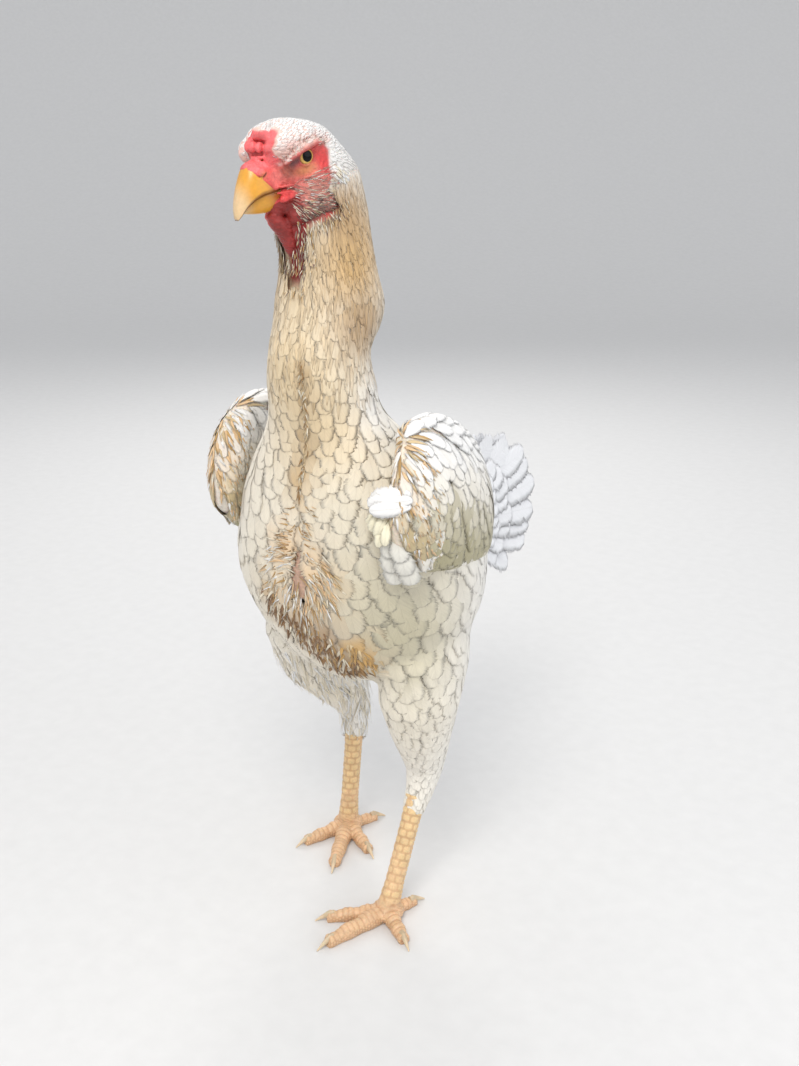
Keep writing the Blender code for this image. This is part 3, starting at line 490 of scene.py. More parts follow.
class Surface:
    """A smooth surface to lay feathers on."""

    def __init__(self, mesh):
        self.points = points_of(mesh)
        self.normals = normals_of(mesh)
        self.faces = triangles_of(mesh)
        corners = self.points[self.faces]
        cross = np.cross(corners[:, 1] - corners[:, 0], corners[:, 2] - corners[:, 0])
        self.areas = np.linalg.norm(cross, axis=1) / 2
        self.tree = BVHTree.FromPolygons(self.points.tolist(), self.faces.tolist())

    def snap(self, points):
        """The nearest places of the surface and its smooth normals there."""
        flat = points.reshape(-1, 3)
        find = self.tree.find_nearest
        found = [find(point) for point in flat.tolist()]
        places = np.array([hit[0][:] for hit in found])
        index = np.array([hit[2] for hit in found])
        corners = self.faces[index]
        gaps = np.linalg.norm(self.points[corners] - places[:, None], axis=2)
        weights = 1.0 / (gaps + 1e-5) ** 2
        normals = unit((self.normals[corners] * weights[..., None]).sum(1))
        return places.reshape(points.shape), normals.reshape(points.shape)

    def scatter(self, spacing, allowed, seed, tries=7):
        """Places at least a spacing apart. spacing and allowed are functions of points."""
        rng = np.random.default_rng(seed)
        middles = self.points[self.faces].mean(1)
        apart = spacing(middles)
        share = self.areas / apart**2 * (allowed(middles) > 0.0)
        count = int(share.sum() * tries)
        picked = rng.choice(len(share), count, p=share / share.sum())
        one, two = rng.random(count), rng.random(count)
        fold = one + two > 1
        one[fold], two[fold] = 1 - one[fold], 1 - two[fold]
        corners = self.points[self.faces[picked]]
        spots = (
            corners[:, 0]
            + (corners[:, 1] - corners[:, 0]) * one[:, None]
            + (corners[:, 2] - corners[:, 0]) * two[:, None]
        )
        keep = rng.random(count) < allowed(spots)
        spots = spots[keep]
        apart = spacing(spots)
        return thin_out(spots, apart)


def thin_out(spots, apart):
    """Leaves the spots that are at least their own spacing from those before them."""
    size = float(apart.max())
    cells = {}
    kept = []
    keys = np.floor(spots / size).astype(int).tolist()
    near = [(i, j, k) for i in (-1, 0, 1) for j in (-1, 0, 1) for k in (-1, 0, 1)]
    for index, (spot, key, reach) in enumerate(zip(spots.tolist(), keys, (apart**2).tolist())):
        x, y, z = spot
        clear = True
        for i, j, k in near:
            for a, b, c in cells.get((key[0] + i, key[1] + j, key[2] + k), ()):
                if (a - x) ** 2 + (b - y) ** 2 + (c - z) ** 2 < reach:
                    clear = False
                    break
            if not clear:
                break
        if clear:
            cells.setdefault(tuple(key), []).append((x, y, z))
            kept.append(index)
    return spots[kept]


# Feathers


# Where barbs leave the vane, as a share of its half width
VANE_EDGE = 0.92


def feather_pattern(bands):
    """The rows and corners of one feather: a closed vane whose edges end in pointed barbs.

    Gives each point's row, its way across, whether it is a barb's tip and whether it stands on
    the upper face, then the triangles and which of them belong to the upper face.
    """
    rows = np.repeat(np.arange(bands + 1), 5).astype(float)
    across = np.tile([-VANE_EDGE, -0.47, 0.0, 0.47, VANE_EDGE], bands + 1)
    raised = np.tile([0.0, 0.6, 1.0, 0.6, 0.0], bands + 1)
    tips = np.repeat(np.arange(bands), 2) + 0.55
    rows = np.concatenate([rows, tips]) / bands
    across = np.concatenate([across, np.tile([-1.0, 1.0], bands)])
    raised = np.concatenate([raised, np.zeros(2 * bands)])
    is_tip = np.arange(len(rows)) >= 5 * (bands + 1)
    upper = []
    lower = []
    for k in range(bands):
        out_l, mid_l, quill, mid_r, out_r = range(5 * k, 5 * k + 5)
        out_l2, mid_l2, quill2, mid_r2, out_r2 = range(5 * k + 5, 5 * k + 10)
        tip_l, tip_r = 5 * (bands + 1) + 2 * k, 5 * (bands + 1) + 2 * k + 1
        upper += [(quill, mid_r, mid_r2), (quill, mid_r2, quill2)]
        upper += [(mid_r, out_r, tip_r), (mid_r, tip_r, mid_r2), (mid_r2, tip_r, out_r2)]
        upper += [(quill, mid_l2, mid_l), (quill, quill2, mid_l2)]
        upper += [(mid_l, tip_l, out_l), (mid_l, mid_l2, tip_l), (mid_l2, out_l2, tip_l)]
        lower += [(out_l, tip_r, out_r), (out_l, tip_l, tip_r)]
        lower += [(tip_l, out_r2, tip_r), (tip_l, out_l2, out_r2)]
    lower += [(0, 4, 3), (0, 3, 2), (0, 2, 1)]
    end = 5 * bands
    lower += [(end + 4, end, end + 1), (end + 4, end + 1, end + 2), (end + 4, end + 2, end + 3)]
    faces = np.array(lower + upper)
    is_upper = np.arange(len(faces)) >= len(lower)
    return rows, across, is_tip, raised, faces, is_upper


def curve_weights(nodes, place):
    """How much each node counts at each place, on the curve through all the nodes."""
    weights = []
    for k, node in enumerate(nodes):
        weight = np.ones_like(place)
        for m, other in enumerate(nodes):
            if m != k:
                weight = weight * (place - other) / (node - other)
        weights.append(weight)
    return np.stack(weights, -1)


# Places of the ground under each feather, along it and across it
LENGTHWISE = (0.0, 0.25, 0.5, 0.75, 1.0)
CROSSWISE = (-1.0, 0.0, 1.0)


def lay(surface, roots, flow, length, half_width, rng, sway=0.12):
    """The curved ground under each feather: 5 by 3 places and normals."""
    places, normals = surface.snap(roots)
    towards = flow(places)
    across = np.cross(normals, towards)
    towards = unit(towards + across * rng.normal(0, sway, len(roots))[:, None])
    lines = [places]
    line_normals = [normals]
    runs = []
    run = unit(towards - normals * (towards * normals).sum(1, keepdims=True))
    for _ in LENGTHWISE[1:]:
        runs.append(run)
        places, normals = surface.snap(lines[-1] + run * (length / 4)[:, None])
        run = run + 0.25 * flow(places)
        run = unit(run - normals * (run * normals).sum(1, keepdims=True))
        lines.append(places)
        line_normals.append(normals)
    runs.append(run)
    middle = np.stack(lines, 1)
    normal = np.stack(line_normals, 1)
    beside = unit(np.cross(np.stack(runs, 1), normal))
    wide = beside * half_width[:, None, None]
    left_places, left_normals = surface.snap(middle - wide)
    right_places, right_normals = surface.snap(middle + wide)
    ground = np.stack([left_places, middle, right_places], 2)
    ground_normals = np.stack([left_normals, normal, right_normals], 2)
    return ground, ground_normals


def outline(shape, rows):
    """Half width of a vane by its rows, as a share of the widest."""
    if shape == "round":
        return np.minimum(1.0, 0.30 + 0.70 * (rows / 0.38) ** 0.8) * (1 - rows**4.5 * 0.985) ** 0.55
    if shape == "long":
        return np.minimum(1.0, 0.35 + 0.65 * rows / 0.30) * (1 - rows**9 * 0.985) ** 0.6
    if shape == "pointed":
        return np.minimum(1.0, 0.30 + 0.70 * rows / 0.28) * (1 - rows**1.8 * 0.96) ** 0.9
    return np.minimum(1.0, 0.4 + 0.6 * rows / 0.2) * (1 - rows * 0.93)


# Share of its length over which a feather comes out of the coat
EMERGES = 0.70
# How much feathers lie higher or lower than each other
UNEVEN = 0.00006
# Size of one feather on the map OFBake
PATCH_SIZE = 0.0028


def feathers(ground, normals, length, half_width, shape, bands, rng, depth, root_colour,
             tip_colour, lift=0.0, cup=0.006, sweep=0.55, fray=0.10, thick=0.00014, twist=0.08,
             vary=0.022, above=0.0):
    """Points, faces, colours and barb map of many feathers on their ground."""
    count = len(ground)
    rows, across, is_tip, raised, faces, is_upper = feather_pattern(bands)
    width = outline(shape, rows)
    jitter = rng.normal(0, fray, (count, len(rows))) * is_tip
    jitter -= (rng.random((count, len(rows))) < fray * 1.2) * is_tip * 0.22
    side = across + np.sign(across) * jitter
    inward = np.where(np.abs(across) == VANE_EDGE, 1.0 - fray, 1.0)
    side = side * inward
    crosswise = side * width
    slant = sweep * (half_width / length)[:, None]
    lengthwise = rows + slant * np.abs(crosswise) * (1 - 0.35 * rows)
    lengthwise = np.minimum(lengthwise / (1 + 0.10 * slant), 1.04)
    by_row = curve_weights(LENGTHWISE, lengthwise)
    by_side = curve_weights(CROSSWISE, crosswise)
    points = np.einsum("nvk,nvm,nkmc->nvc", by_row, by_side, ground)
    stand = unit(np.einsum("nvk,nvm,nkmc->nvc", by_row, by_side, normals))
    emerge = (1.0 - np.clip(lengthwise / EMERGES, 0.0, 1.0)) ** 1.5
    height = -np.reshape(depth, (-1, 1)) * emerge
    height = height + np.reshape(lift, (-1, 1)) * lengthwise**2
    height = height - cup * half_width[:, None] * crosswise**2
    roll = rng.normal(0, twist, count)[:, None] * half_width[:, None] * 0.35
    height = height + roll * crosswise * ramp(0.1, 0.7, lengthwise)
    height = height + rng.normal(0, UNEVEN, count)[:, None] + above
    height = height + thick * raised
    points = points + stand * height[..., None]
    # Darker towards the root: partly the down's own grey, partly painted shade where the feathers lie
    # over each other
    shade = ramp(0.15, 0.85, lengthwise)[..., None]
    tints = blend(root_colour[:, None], tip_colour[:, None], shade)
    tints = tints * (1 + rng.normal(0, vary, (count, 1, 1)))
    barbs = np.stack([rows * length[:, None], side * half_width[:, None]], -1)
    barbs = barbs + rng.random((count, 1, 2)) * (0.5, 0.0)
    patch = np.stack([crosswise / 2, lengthwise - 0.5], -1) * PATCH_SIZE
    number = (np.arange(count) * len(rows))[:, None, None]
    return {
        "points": points.reshape(-1, 3),
        "faces": (faces + number).reshape(-1, 3),
        "upper": np.tile(is_upper, count),
        "tints": tints.reshape(-1, 3),
        "barbs": barbs.reshape(-1, 2),
        "patch": patch.reshape(-1, 2),
        "each": len(rows),
    }


def long_feathers(rows, widest, bands, rng, root_colour, tip_colour, **form):
    """Vanes on grounds of their own. The widest row of a ground gives a vane's half width."""
    grounds = np.array([ground for ground, _ in rows])
    stands = np.array([stand for _, stand in rows])
    length = np.linalg.norm(np.diff(grounds[:, :, 1], axis=1), axis=2).sum(1)
    half_width = np.linalg.norm(grounds[:, widest, 2] - grounds[:, widest, 0], axis=1) / 2
    return feathers(grounds, stands, length, half_width, "long", bands, rng, np.zeros(len(rows)),
                    root_colour, tip_colour, **form)


def coat_piece(name, batches, nodes=()):
    """One joined mesh of feathers, with its colours and both maps."""
    points, faces = joined([(batch["points"], batch["faces"]) for batch in batches])
    mesh = new_mesh(name, points + SHIFT, faces)
    mesh.polygons.foreach_set("use_smooth", np.concatenate([b["upper"] for b in batches]))
    paint(mesh, "Tint", np.clip(np.concatenate([b["tints"] for b in batches]), 0.0, 1.0))
    places = [np.repeat(b["home"], b["each"], 0) + b["patch"] for b in batches]
    set_map(mesh, "OFBake", np.clip(np.concatenate(places), 0.001, 0.999))
    set_map(mesh, "Barbs", np.concatenate([b["barbs"] for b in batches]))
    mesh.materials.append(MATERIALS["feather"])
    return finish_piece(new_object(name, mesh), nodes)


def finish_piece(piece, nodes=()):
    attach(piece, "root")
    if nodes:
        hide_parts(*nodes)
    return piece


# Markings of skin and coat


def both_sides(place, way, *sizes):
    """A row on the left side and the same row on the right."""
    return [tuple((x * side, y, z) for x, y, z in (place, way)) + sizes for side in (1, -1)]


# Where feathers lie: place, the way they lie, spacing, length, half width, depth of the coat
PLUMAGE = (
    ((0.000, -0.010, 0.566), (0.0, 0.25, -1.0), 0.0036, 0.0150, 0.0026, 0.0024),
    ((0.000, -0.004, 0.535), (0.0, 0.15, -1.0), 0.0046, 0.0240, 0.0036, 0.0034),
    *both_sides((0.026, -0.040, 0.545), (0.1, 0.10, -1.0), 0.0040, 0.0150, 0.0028, 0.0030),
    ((0.000, -0.068, 0.520), (0.0, 0.00, -1.0), 0.0046, 0.0130, 0.0040, 0.0030),
    ((0.000, 0.000, 0.490), (0.0, 0.10, -1.0), 0.0058, 0.0300, 0.0046, 0.0040),
    *both_sides((0.032, -0.045, 0.490), (0.0, 0.05, -1.0), 0.0058, 0.0230, 0.0056, 0.0044),
    ((0.028, -0.076, 0.455), (-0.60, 0.0, -1.0), 0.0062, 0.0190, 0.0064, 0.0044),
    ((-0.005, -0.082, 0.455), (0.60, 0.0, -1.0), 0.0062, 0.0190, 0.0064, 0.0044),
    ((0.028, -0.074, 0.410), (-0.60, 0.0, -1.0), 0.0068, 0.0210, 0.0074, 0.0050),
    ((-0.006, -0.079, 0.410), (0.60, 0.0, -1.0), 0.0068, 0.0210, 0.0074, 0.0050),
    *both_sides((0.042, -0.040, 0.420), (0.1, 0.10, -1.0), 0.0078, 0.0270, 0.0086, 0.0055),
    ((0.000, 0.004, 0.415), (0.0, 0.50, -0.9), 0.0080, 0.0360, 0.0080, 0.0060),
    *both_sides((0.040, -0.075, 0.360), (0.15, 0.0, -1.0), 0.0088, 0.0290, 0.0104, 0.0065),
    *both_sides((0.060, -0.065, 0.310), (0.20, 0.15, -1.0), 0.0100, 0.0340, 0.0122, 0.0070),
    *both_sides((0.050, -0.055, 0.250), (0.10, 0.40, -1.0), 0.0100, 0.0320, 0.0116, 0.0065),
    ((0.100, 0.020, 0.310), (0.0, 0.50, -0.85), 0.0108, 0.0400, 0.0124, 0.0070),
    ((-0.110, 0.020, 0.310), (0.0, 0.50, -0.85), 0.0108, 0.0400, 0.0124, 0.0070),
    ((0.000, 0.060, 0.385), (0.0, 0.85, -0.5), 0.0104, 0.0420, 0.0118, 0.0070),
    ((0.000, 0.105, 0.350), (0.0, 0.90, -0.4), 0.0092, 0.0480, 0.0080, 0.0070),
    *both_sides((0.060, 0.100, 0.290), (-0.1, 0.70, -0.7), 0.0098, 0.0440, 0.0092, 0.0075),
    ((0.000, 0.090, 0.235), (0.0, 0.80, -0.5), 0.0080, 0.0380, 0.0062, 0.0080),
    ((0.000, 0.020, 0.203), (0.0, 0.95, -0.2), 0.0090, 0.0300, 0.0090, 0.0065),
    ((0.088, 0.000, 0.235), (0.0, 0.15, -1.0), 0.0092, 0.0310, 0.0100, 0.0062),
    ((-0.098, 0.010, 0.235), (-0.2, 0.15, -1.0), 0.0092, 0.0330, 0.0092, 0.0066),
    ((0.056, -0.040, 0.215), (0.0, 0.20, -1.0), 0.0086, 0.0270, 0.0092, 0.0058),
    ((-0.062, -0.028, 0.215), (0.0, 0.20, -1.0), 0.0080, 0.0300, 0.0064, 0.0060),
    ((0.055, -0.025, 0.180), (0.0, 0.15, -1.0), 0.0070, 0.0220, 0.0072, 0.0048),
    ((-0.064, 0.000, 0.180), (0.0, 0.30, -1.0), 0.0066, 0.0280, 0.0046, 0.0056),
    ((0.052, 0.008, 0.140), (0.0, 0.05, -1.0), 0.0054, 0.0160, 0.0054, 0.0034),
    ((-0.055, 0.046, 0.142), (0.0, 0.15, -1.0), 0.0052, 0.0190, 0.0040, 0.0036),
    ((0.050, 0.006, 0.100), (0.0, -0.5, -1.0), 0.0038, 0.0095, 0.0036, 0.0018),
    ((-0.052, 0.055, 0.105), (0.0, 0.0, -1.0), 0.0038, 0.0095, 0.0036, 0.0018),
)
# How far each row of the table counts
PLUMAGE_REACH = 0.030

# Patches of colour over the plumage: place, reach, colour, strength
COAT_MARKS = (
    ((0.000, -0.085, 0.505), 0.030, SAND, 0.75),
    ((0.000, -0.085, 0.450), 0.040, SAND, 0.80),
    ((0.010, -0.085, 0.400), 0.040, SAND, 0.65),
    ((0.000, -0.004, 0.530), 0.045, TAN, 0.50),
    ((0.028, -0.040, 0.530), 0.030, TAN, 0.70),
    ((-0.028, -0.040, 0.530), 0.030, TAN, 0.60),
    ((0.030, -0.070, 0.410), 0.030, SAND, 0.55),
    ((0.024, -0.046, 0.552), 0.020, HACKLE, 0.75),
    ((-0.024, -0.046, 0.552), 0.020, TAN, 0.60),
    ((0.034, -0.050, 0.515), 0.022, TAN, 0.85),
    ((0.036, -0.046, 0.475), 0.022, HACKLE, 0.80),
    ((-0.034, -0.046, 0.495), 0.026, TAN, 0.45),
    ((0.044, -0.034, 0.420), 0.022, WHITE, 0.90),
    ((-0.044, -0.034, 0.400), 0.026, WHITE, 0.80),
    ((0.0110, -0.0827, 0.446), 0.007, GROOVE, 0.75),
    ((0.0116, -0.0802, 0.424), 0.008, GROOVE, 0.85),
    ((0.0099, -0.0776, 0.401), 0.008, GROOVE, 0.85),
    ((0.0074, -0.0780, 0.387), 0.008, GROOVE, 0.85),
    ((0.0043, -0.0792, 0.370), 0.010, TAN, 0.80),
    ((0.0050, -0.0805, 0.350), 0.009, TAN, 0.70),
    ((0.0280, -0.0756, 0.295), 0.012, PIN, 0.60),
    ((0.040, -0.075, 0.345), 0.030, CREAM, 0.60),
    # Painted shade over the lower breast, on its side towards the left wing
    ((0.060, -0.062, 0.290), 0.045, SHADE, 0.45),
    ((0.075, -0.045, 0.245), 0.045, SHADE, 0.65),
    ((-0.050, -0.070, 0.310), 0.030, CREAM, 0.55),
    ((-0.090, -0.040, 0.340), 0.035, WHITE, 0.80),
    ((0.004, -0.080, 0.300), 0.026, PIN, 0.75),
    ((-0.014, -0.080, 0.318), 0.012, PIN, 0.80),
    ((-0.034, -0.072, 0.268), 0.016, TAN, 0.80),
    ((0.002, -0.066, 0.250), 0.022, HACKLE, 0.80),
    ((0.022, -0.056, 0.226), 0.018, DIRT, 0.90),
    ((0.040, -0.056, 0.236), 0.013, OCHRE, 1.00),
    ((0.060, -0.010, 0.180), 0.030, CREAM, 0.50),
    ((-0.055, 0.020, 0.150), 0.040, CREAM, 0.70),
)
# Bare or thin places of the breast: place, reach
BARE_SPOTS = (
    ((0.001, -0.081, 0.337), 0.0070),
    ((-0.001, -0.080, 0.322), 0.0095),
    ((0.000, -0.079, 0.305), 0.0110),
    ((-0.004, -0.077, 0.288), 0.0120),
    ((0.010, -0.076, 0.290), 0.0100),
    ((-0.014, -0.078, 0.292), 0.0100),
)

# Outline of the bare face on each side: forward and up, in millimetres
FACE_OUTLINE = (
    (36, 12), (21, 13), (19.5, 6), (16.5, 1.5), (12.0, 5.0), (4.0, 8.2), (-7, 8), (-14.5, 2.5),
    (-17, -3), (-14.5, -8), (-12, -13), (-11, -18), (-13, -24), (-15, -32), (-12, -39),
    (-4, -42.5), (6, -43), (14, -41.5), (19, -45), (22.5, -53), (27, -64), (30, -74), (38, -74),
    (44, -20),
)
CHEEK = colour(214, 140, 126)
CROWN_TINT = colour(236, 184, 170)
BROW_PINK = colour(226, 160, 148)
DARK_RED = colour(92, 24, 22)
# Painted shadow in front of the eye, under the brow
LORE_SHADOW = colour(112, 70, 72)
# Parts of the face: forward, up, reach forward, reach up, colour, strength
FACE_MARKS = (
    (0.002, -0.014, 0.014, 0.006, ROSE, 0.80),
    (0.002, 0.009, 0.014, 0.004, BROW_PINK, 0.90),
    (0.000, -0.022, 0.016, 0.008, CHEEK, 0.95),
    (0.005, -0.034, 0.014, 0.009, BRISTLE, 0.85),
    (0.020, -0.006, 0.006, 0.006, ROSE, 0.60),
    (0.0135, -0.004, 0.0050, 0.0060, LORE, 0.90),
    # The painted shadow in front of the eye
    (0.0092, 0.0006, 0.0042, 0.0034, LORE_SHADOW, 0.95),
    (0.022, -0.017, 0.008, 0.006, RED, 0.95),
    (0.0300, 0.0015, 0.0030, 0.0030, LID, 0.60),
    (-0.0085, -0.0080, 0.0050, 0.0095, RED, 1.00),
    (0.0035, -0.0075, 0.0070, 0.0036, LID, 0.95),
    (-0.001, -0.0415, 0.008, 0.0024, RED, 0.90),
    (0.022, -0.033, 0.008, 0.007, DARK_RED, 0.90),
    (0.027, -0.055, 0.010, 0.020, THROAT_RED, 1.00),
)


def plumage(points):
    """The way that feathers lie at points, and their spacing, length, half width and depth."""
    places = np.array([row[0] for row in PLUMAGE])
    ways = unit(np.array([row[1] for row in PLUMAGE]))
    sizes = np.array([row[2:] for row in PLUMAGE])
    gaps = ((points[:, None] - places) ** 2).sum(-1) / PLUMAGE_REACH**2
    weights = np.exp(-0.5 * (gaps - gaps.min(1, keepdims=True)))
    weights /= weights.sum(1, keepdims=True)
    return unit(weights @ ways), weights @ sizes


def flow(points):
    return plumage(points)[0]


def coat_colour(points):
    """The colour of the plumage at points."""
    front = ramp(0.06, -0.06, points[:, 1])[:, None]
    height = points[:, 2:3]
    tint = blend(WHITE, CREAM, 0.20 + 0.60 * front)
    tint = blend(tint, WHITE, ramp(0.555, 0.585, height))
    for place, reach, mark, strength in COAT_MARKS:
        gap = ((points - np.array(place)) ** 2).sum(1, keepdims=True)
        tint = blend(tint, mark, strength * np.exp(-gap / reach**2))
    return tint


def bare(points):
    """How bare the breast is at points, from 0 to 1."""
    amount = np.zeros(len(points))
    for place, reach in BARE_SPOTS:
        gap = np.linalg.norm(points - np.array(place), axis=1)
        amount = np.maximum(amount, 1 - ramp(0.75, 1.15, gap / reach))
    return amount


def face_edge(places):
    """Distance in from the bare face's outline, less than 0 among the feathers."""
    edge = -away(FACE_OUTLINE, places[:, 0] * 1000, places[:, 2] * 1000) / 1000
    middle = np.array(RIGHT_PUFF[:3]) * (1, -1, 1)
    puff = np.linalg.norm((places - middle) / RIGHT_PUFF[3:], axis=1)
    return edge - 0.008 * ramp(1.30, 1.05, puff)


def comb_share(places):
    """How much a place of the head belongs to the comb."""
    forward, left, up = places.T
    wide = 0.0122 + 0.0022 * ramp(0.013, 0.017, up)
    share = ramp(0.0007, -0.0007, np.abs(left - 0.0028) - wide) * ramp(0.011, 0.0135, forward)
    return share * ramp(0.0, 0.005, up) * ramp(0.0245, 0.0235, up)


def nostril(places):
    """How much a place of the head lies in the slit of the nostril."""
    forward, left, up = places.T
    share = np.clip((forward - 0.0276) / 0.0072, 0, 1)
    middle = 0.0007 - 0.0011 * share - 0.0006 * np.sin(share * math.pi)
    slit = np.exp(-(((up - middle) / 0.00060) ** 2))
    return slit * ramp(0.0268, 0.0282, forward) * ramp(0.0356, 0.0342, forward) * (np.abs(left) > 0.004)


def gape(places):
    """How much a place of the head lies in the line that runs back from the mouth."""
    forward, _, up = places.T
    share = np.clip((0.0250 - forward) / 0.0130, 0, 1)
    middle = -0.0120 - 0.0052 * share**1.4
    line = np.exp(-(((up - middle) / 0.00060) ** 2))
    return line * ramp(0.0270, 0.0240, forward) * ramp(0.0110, 0.0150, forward)


def skin_colour(points):
    """The colour of the skin at points: red on the face, pale under the plumage."""
    tint = blend(coat_colour(points), BARE_SKIN, 0.20 + 0.75 * bare(points)[:, None])
    places = on_head(points)
    forward, _, up = places.T
    near = ramp(0.050, 0.040, np.linalg.norm(places - (0.008, 0.0, -0.012), axis=1))
    tint = blend(tint, CROWN_TINT, (0.75 * near * ramp(-0.002, 0.004, up))[:, None])
    face = blend(RED, ROSE, 0.35 + 0.25 * noise(places, 0.004, 3)[:, None])
    for f, h, reach_f, reach_h, mark, strength in FACE_MARKS:
        gap = ((forward - f) / reach_f) ** 2 + ((up - h) / reach_h) ** 2
        face = blend(face, mark, (strength * np.exp(-gap**1.5))[:, None])
    face = blend(face, COMB_RED, comb_share(places)[:, None])
    face = blend(face, DARK_RED, 0.85 * np.maximum(nostril(places), gape(places))[:, None])
    share = near * ramp(-0.0015, 0.0020, face_edge(places))
    throat = ramp(0.012, 0.008, np.abs(points[:, 0] + 0.002)) * ramp(-0.052, -0.060, points[:, 1])
    throat = throat * ramp(0.503, 0.512, points[:, 2])
    share = np.maximum(share, comb_share(places) * ramp(0.05, 0.04, np.abs(forward)))
    tint = blend(tint, face, share[:, None])
    return blend(tint, THROAT_RED, (throat * (up < -0.02))[:, None])


# Skin


def fullness(turn, square):
    """The sine of a turn, filled out towards a square the lower square is."""
    sine = np.sin(turn)
    return np.sign(sine) * np.abs(sine) ** square


def evened(ring, count):
    """Points at even steps round a closed line."""
    closed = np.concatenate([ring, ring[:1]])
    walked = np.concatenate([[0.0], np.cumsum(np.linalg.norm(np.diff(closed, axis=0), axis=1))])
    goals = walked[-1] * np.arange(count) / count
    return np.stack([np.interp(goals, walked, closed[:, k]) for k in range(3)], -1)


def raised(places):
    """Places of the head's smooth form with the forehead's hollow and the swellings added."""
    forward, left, up = places.T
    spare = np.maximum(0.0, forward - along(FOREHEAD, up)[:, 0])
    forward = forward - spare * np.exp(-((left / FOREHEAD_WIDTH) ** 2))
    shift = np.zeros(len(places))
    for f, l, h, reach, height in FACE_FORMS:
        gap = (forward - f) ** 2 + (np.abs(left) - l) ** 2 + (up - h) ** 2
        shift += height * np.exp(-gap / reach**2 * 2)
    out = unit(np.stack([forward * 0.3, left, up * 0.5], -1))
    return np.stack([forward, left, up], -1) + out * shift[:, None]


# How finely the skull is drawn: levels, steps round each, points left on each
SKULL_LEVELS = 90
SKULL_STEPS = 240
SKULL_POINTS = 130


def skull():
    levels = np.linspace(HEAD_SECTIONS[0][0], HEAD_SECTIONS[-1][0], SKULL_LEVELS)
    turn = circle(SKULL_STEPS)
    share = (1 - np.cos(turn)) / 2
    rings = []
    for level, row in zip(levels, along(HEAD_SECTIONS, levels)):
        back, front, half_width, taper, square = row
        width = half_width * (1 - taper * share**2) * fullness(turn, square)
        ring = np.stack([back + (front - back) * share, width, np.full(SKULL_STEPS, level)], -1)
        rings.append(evened(ring, SKULL_POINTS))
    rings = np.array(rings)
    return loft(head_point(raised(rings.reshape(-1, 3))).reshape(rings.shape))


def beak_ring(ridge, edge, half_width, forward, arch, slope=0.0, sides=28):
    """Half an arch over the mouth's edge, or under it where arch is -1."""
    turn = np.linspace(0, math.pi, sides)
    height = (ridge - edge) * arch
    rise = height * np.sin(turn) ** 0.8
    shell = np.stack([forward + slope * rise, half_width * np.cos(turn), edge + rise * arch], -1)
    share = np.linspace(-1, 1, sides // 2)[1:-1]
    groove = 0.06 * height * (1 - np.abs(share))
    under = np.stack([np.full(len(share), forward), half_width * share, edge + groove * arch], -1)
    return np.concatenate([shell, under])


def cere():
    """The skin over the root of the upper beak, whose front edge slopes forward and up."""
    rings = []
    for back in np.concatenate([np.linspace(CERE_LENGTH, CERE_ROUNDED, 12), [0.0006, 0.0002, 0.0]]):
        forward = CERE_EDGE - back
        _, edge, half_width = along(UPPER_BEAK, forward)[0]
        ridge = along(UPPER_BEAK, forward + CERE_AHEAD)[0, 0]
        spare = CERE_THICK - CERE_THINNER * (1 - min(back, CERE_ROUNDED) / CERE_ROUNDED) ** 2
        rings.append(beak_ring(ridge + spare, edge, half_width + spare, forward, 1, CERE_SLOPE))
    points, faces = loft(rings)
    return head_point(points), faces


def curve(places, count=40):
    """Smooth places at even steps of a line through a few."""
    places = np.array(places, float)
    steps = np.arange(len(places))
    table = np.column_stack([steps, places])
    return along(table, np.linspace(0, len(places) - 1, count))


def head_rope(places, radius, side, flat=1.0):
    """A tapered band over places on one side of the head."""
    line = curve([(f, l * side, h) for f, l, h in places])
    share = np.linspace(0, 1, len(line))
    radii = radius * (0.35 + 0.65 * np.sin(math.pi * share) ** 0.6)
    return rope(head_point(line), radii, flat=flat)


# Ridge of the left brow, from the front: forward, left, up
BROW_RADIUS = 0.0028
BROW = (
    (0.0155, 0.0156, 0.0006),
    (0.0104, 0.0198, 0.0036),
    (0.0044, 0.0229, 0.0060),
    (-0.0026, 0.0243, 0.0070),
    (-0.0090, 0.0240, 0.0058),
    (-0.0145, 0.0222, 0.0022),
)
# Folds at the corner of the mouth and over the cheek, with their radius
FOLDS = (
    (((0.0255, 0.0120, -0.0100), (0.0200, 0.0150, -0.0112), (0.0130, 0.0166, -0.0132)), 0.0013),
    (((0.0262, 0.0108, -0.0138), (0.0205, 0.0142, -0.0150), (0.0140, 0.0156, -0.0176)), 0.0012),
    (((0.0240, 0.0100, -0.0185), (0.0180, 0.0134, -0.0198), (0.0110, 0.0146, -0.0222)), 0.0012),
    (((0.0120, 0.0190, -0.0095), (0.0040, 0.0212, -0.0118), (-0.0050, 0.0222, -0.0110)), 0.0010),
    (((-0.0105, 0.0216, 0.0050), (-0.0128, 0.0220, -0.0020), (-0.0110, 0.0222, -0.0090)), 0.0012),
)
# Lower cheeks: forward, left, up and their reach along the same three ways
JOWLS = (
    (0.0030, 0.0120, -0.0300, 0.0150, 0.0085, 0.0110),
    (0.0100, 0.0080, -0.0330, 0.0130, 0.0075, 0.0100),
    (-0.0060, 0.0130, -0.0330, 0.0110, 0.0085, 0.0120),
)
# Loose skin of the throat: place on the middle, half width
DEWLAP = (
    (0.0300, 0.0, -0.0255, 0.0050),
    (0.0272, 0.0, -0.0330, 0.0070),
    (0.0236, 0.0, -0.0430, 0.0074),
    (0.0236, 0.0, -0.0540, 0.0062),
    (0.0200, 0.0, -0.0650, 0.0050),
    (0.0146, 0.0, -0.0770, 0.0036),
)


def eye_axes(side):
    """Ahead, outward and up of an eye, which looks a little forward."""
    forward, left, up = HEAD_AXES
    outward = left * side * math.cos(EYE_FORWARD) + forward * math.sin(EYE_FORWARD)
    ahead = forward * math.cos(EYE_FORWARD) - left * side * math.sin(EYE_FORWARD)
    return ahead, outward, up


def eye_middle(side):
    forward, left, up = EYE_PLACE
    return head_point((forward, left * side, up))


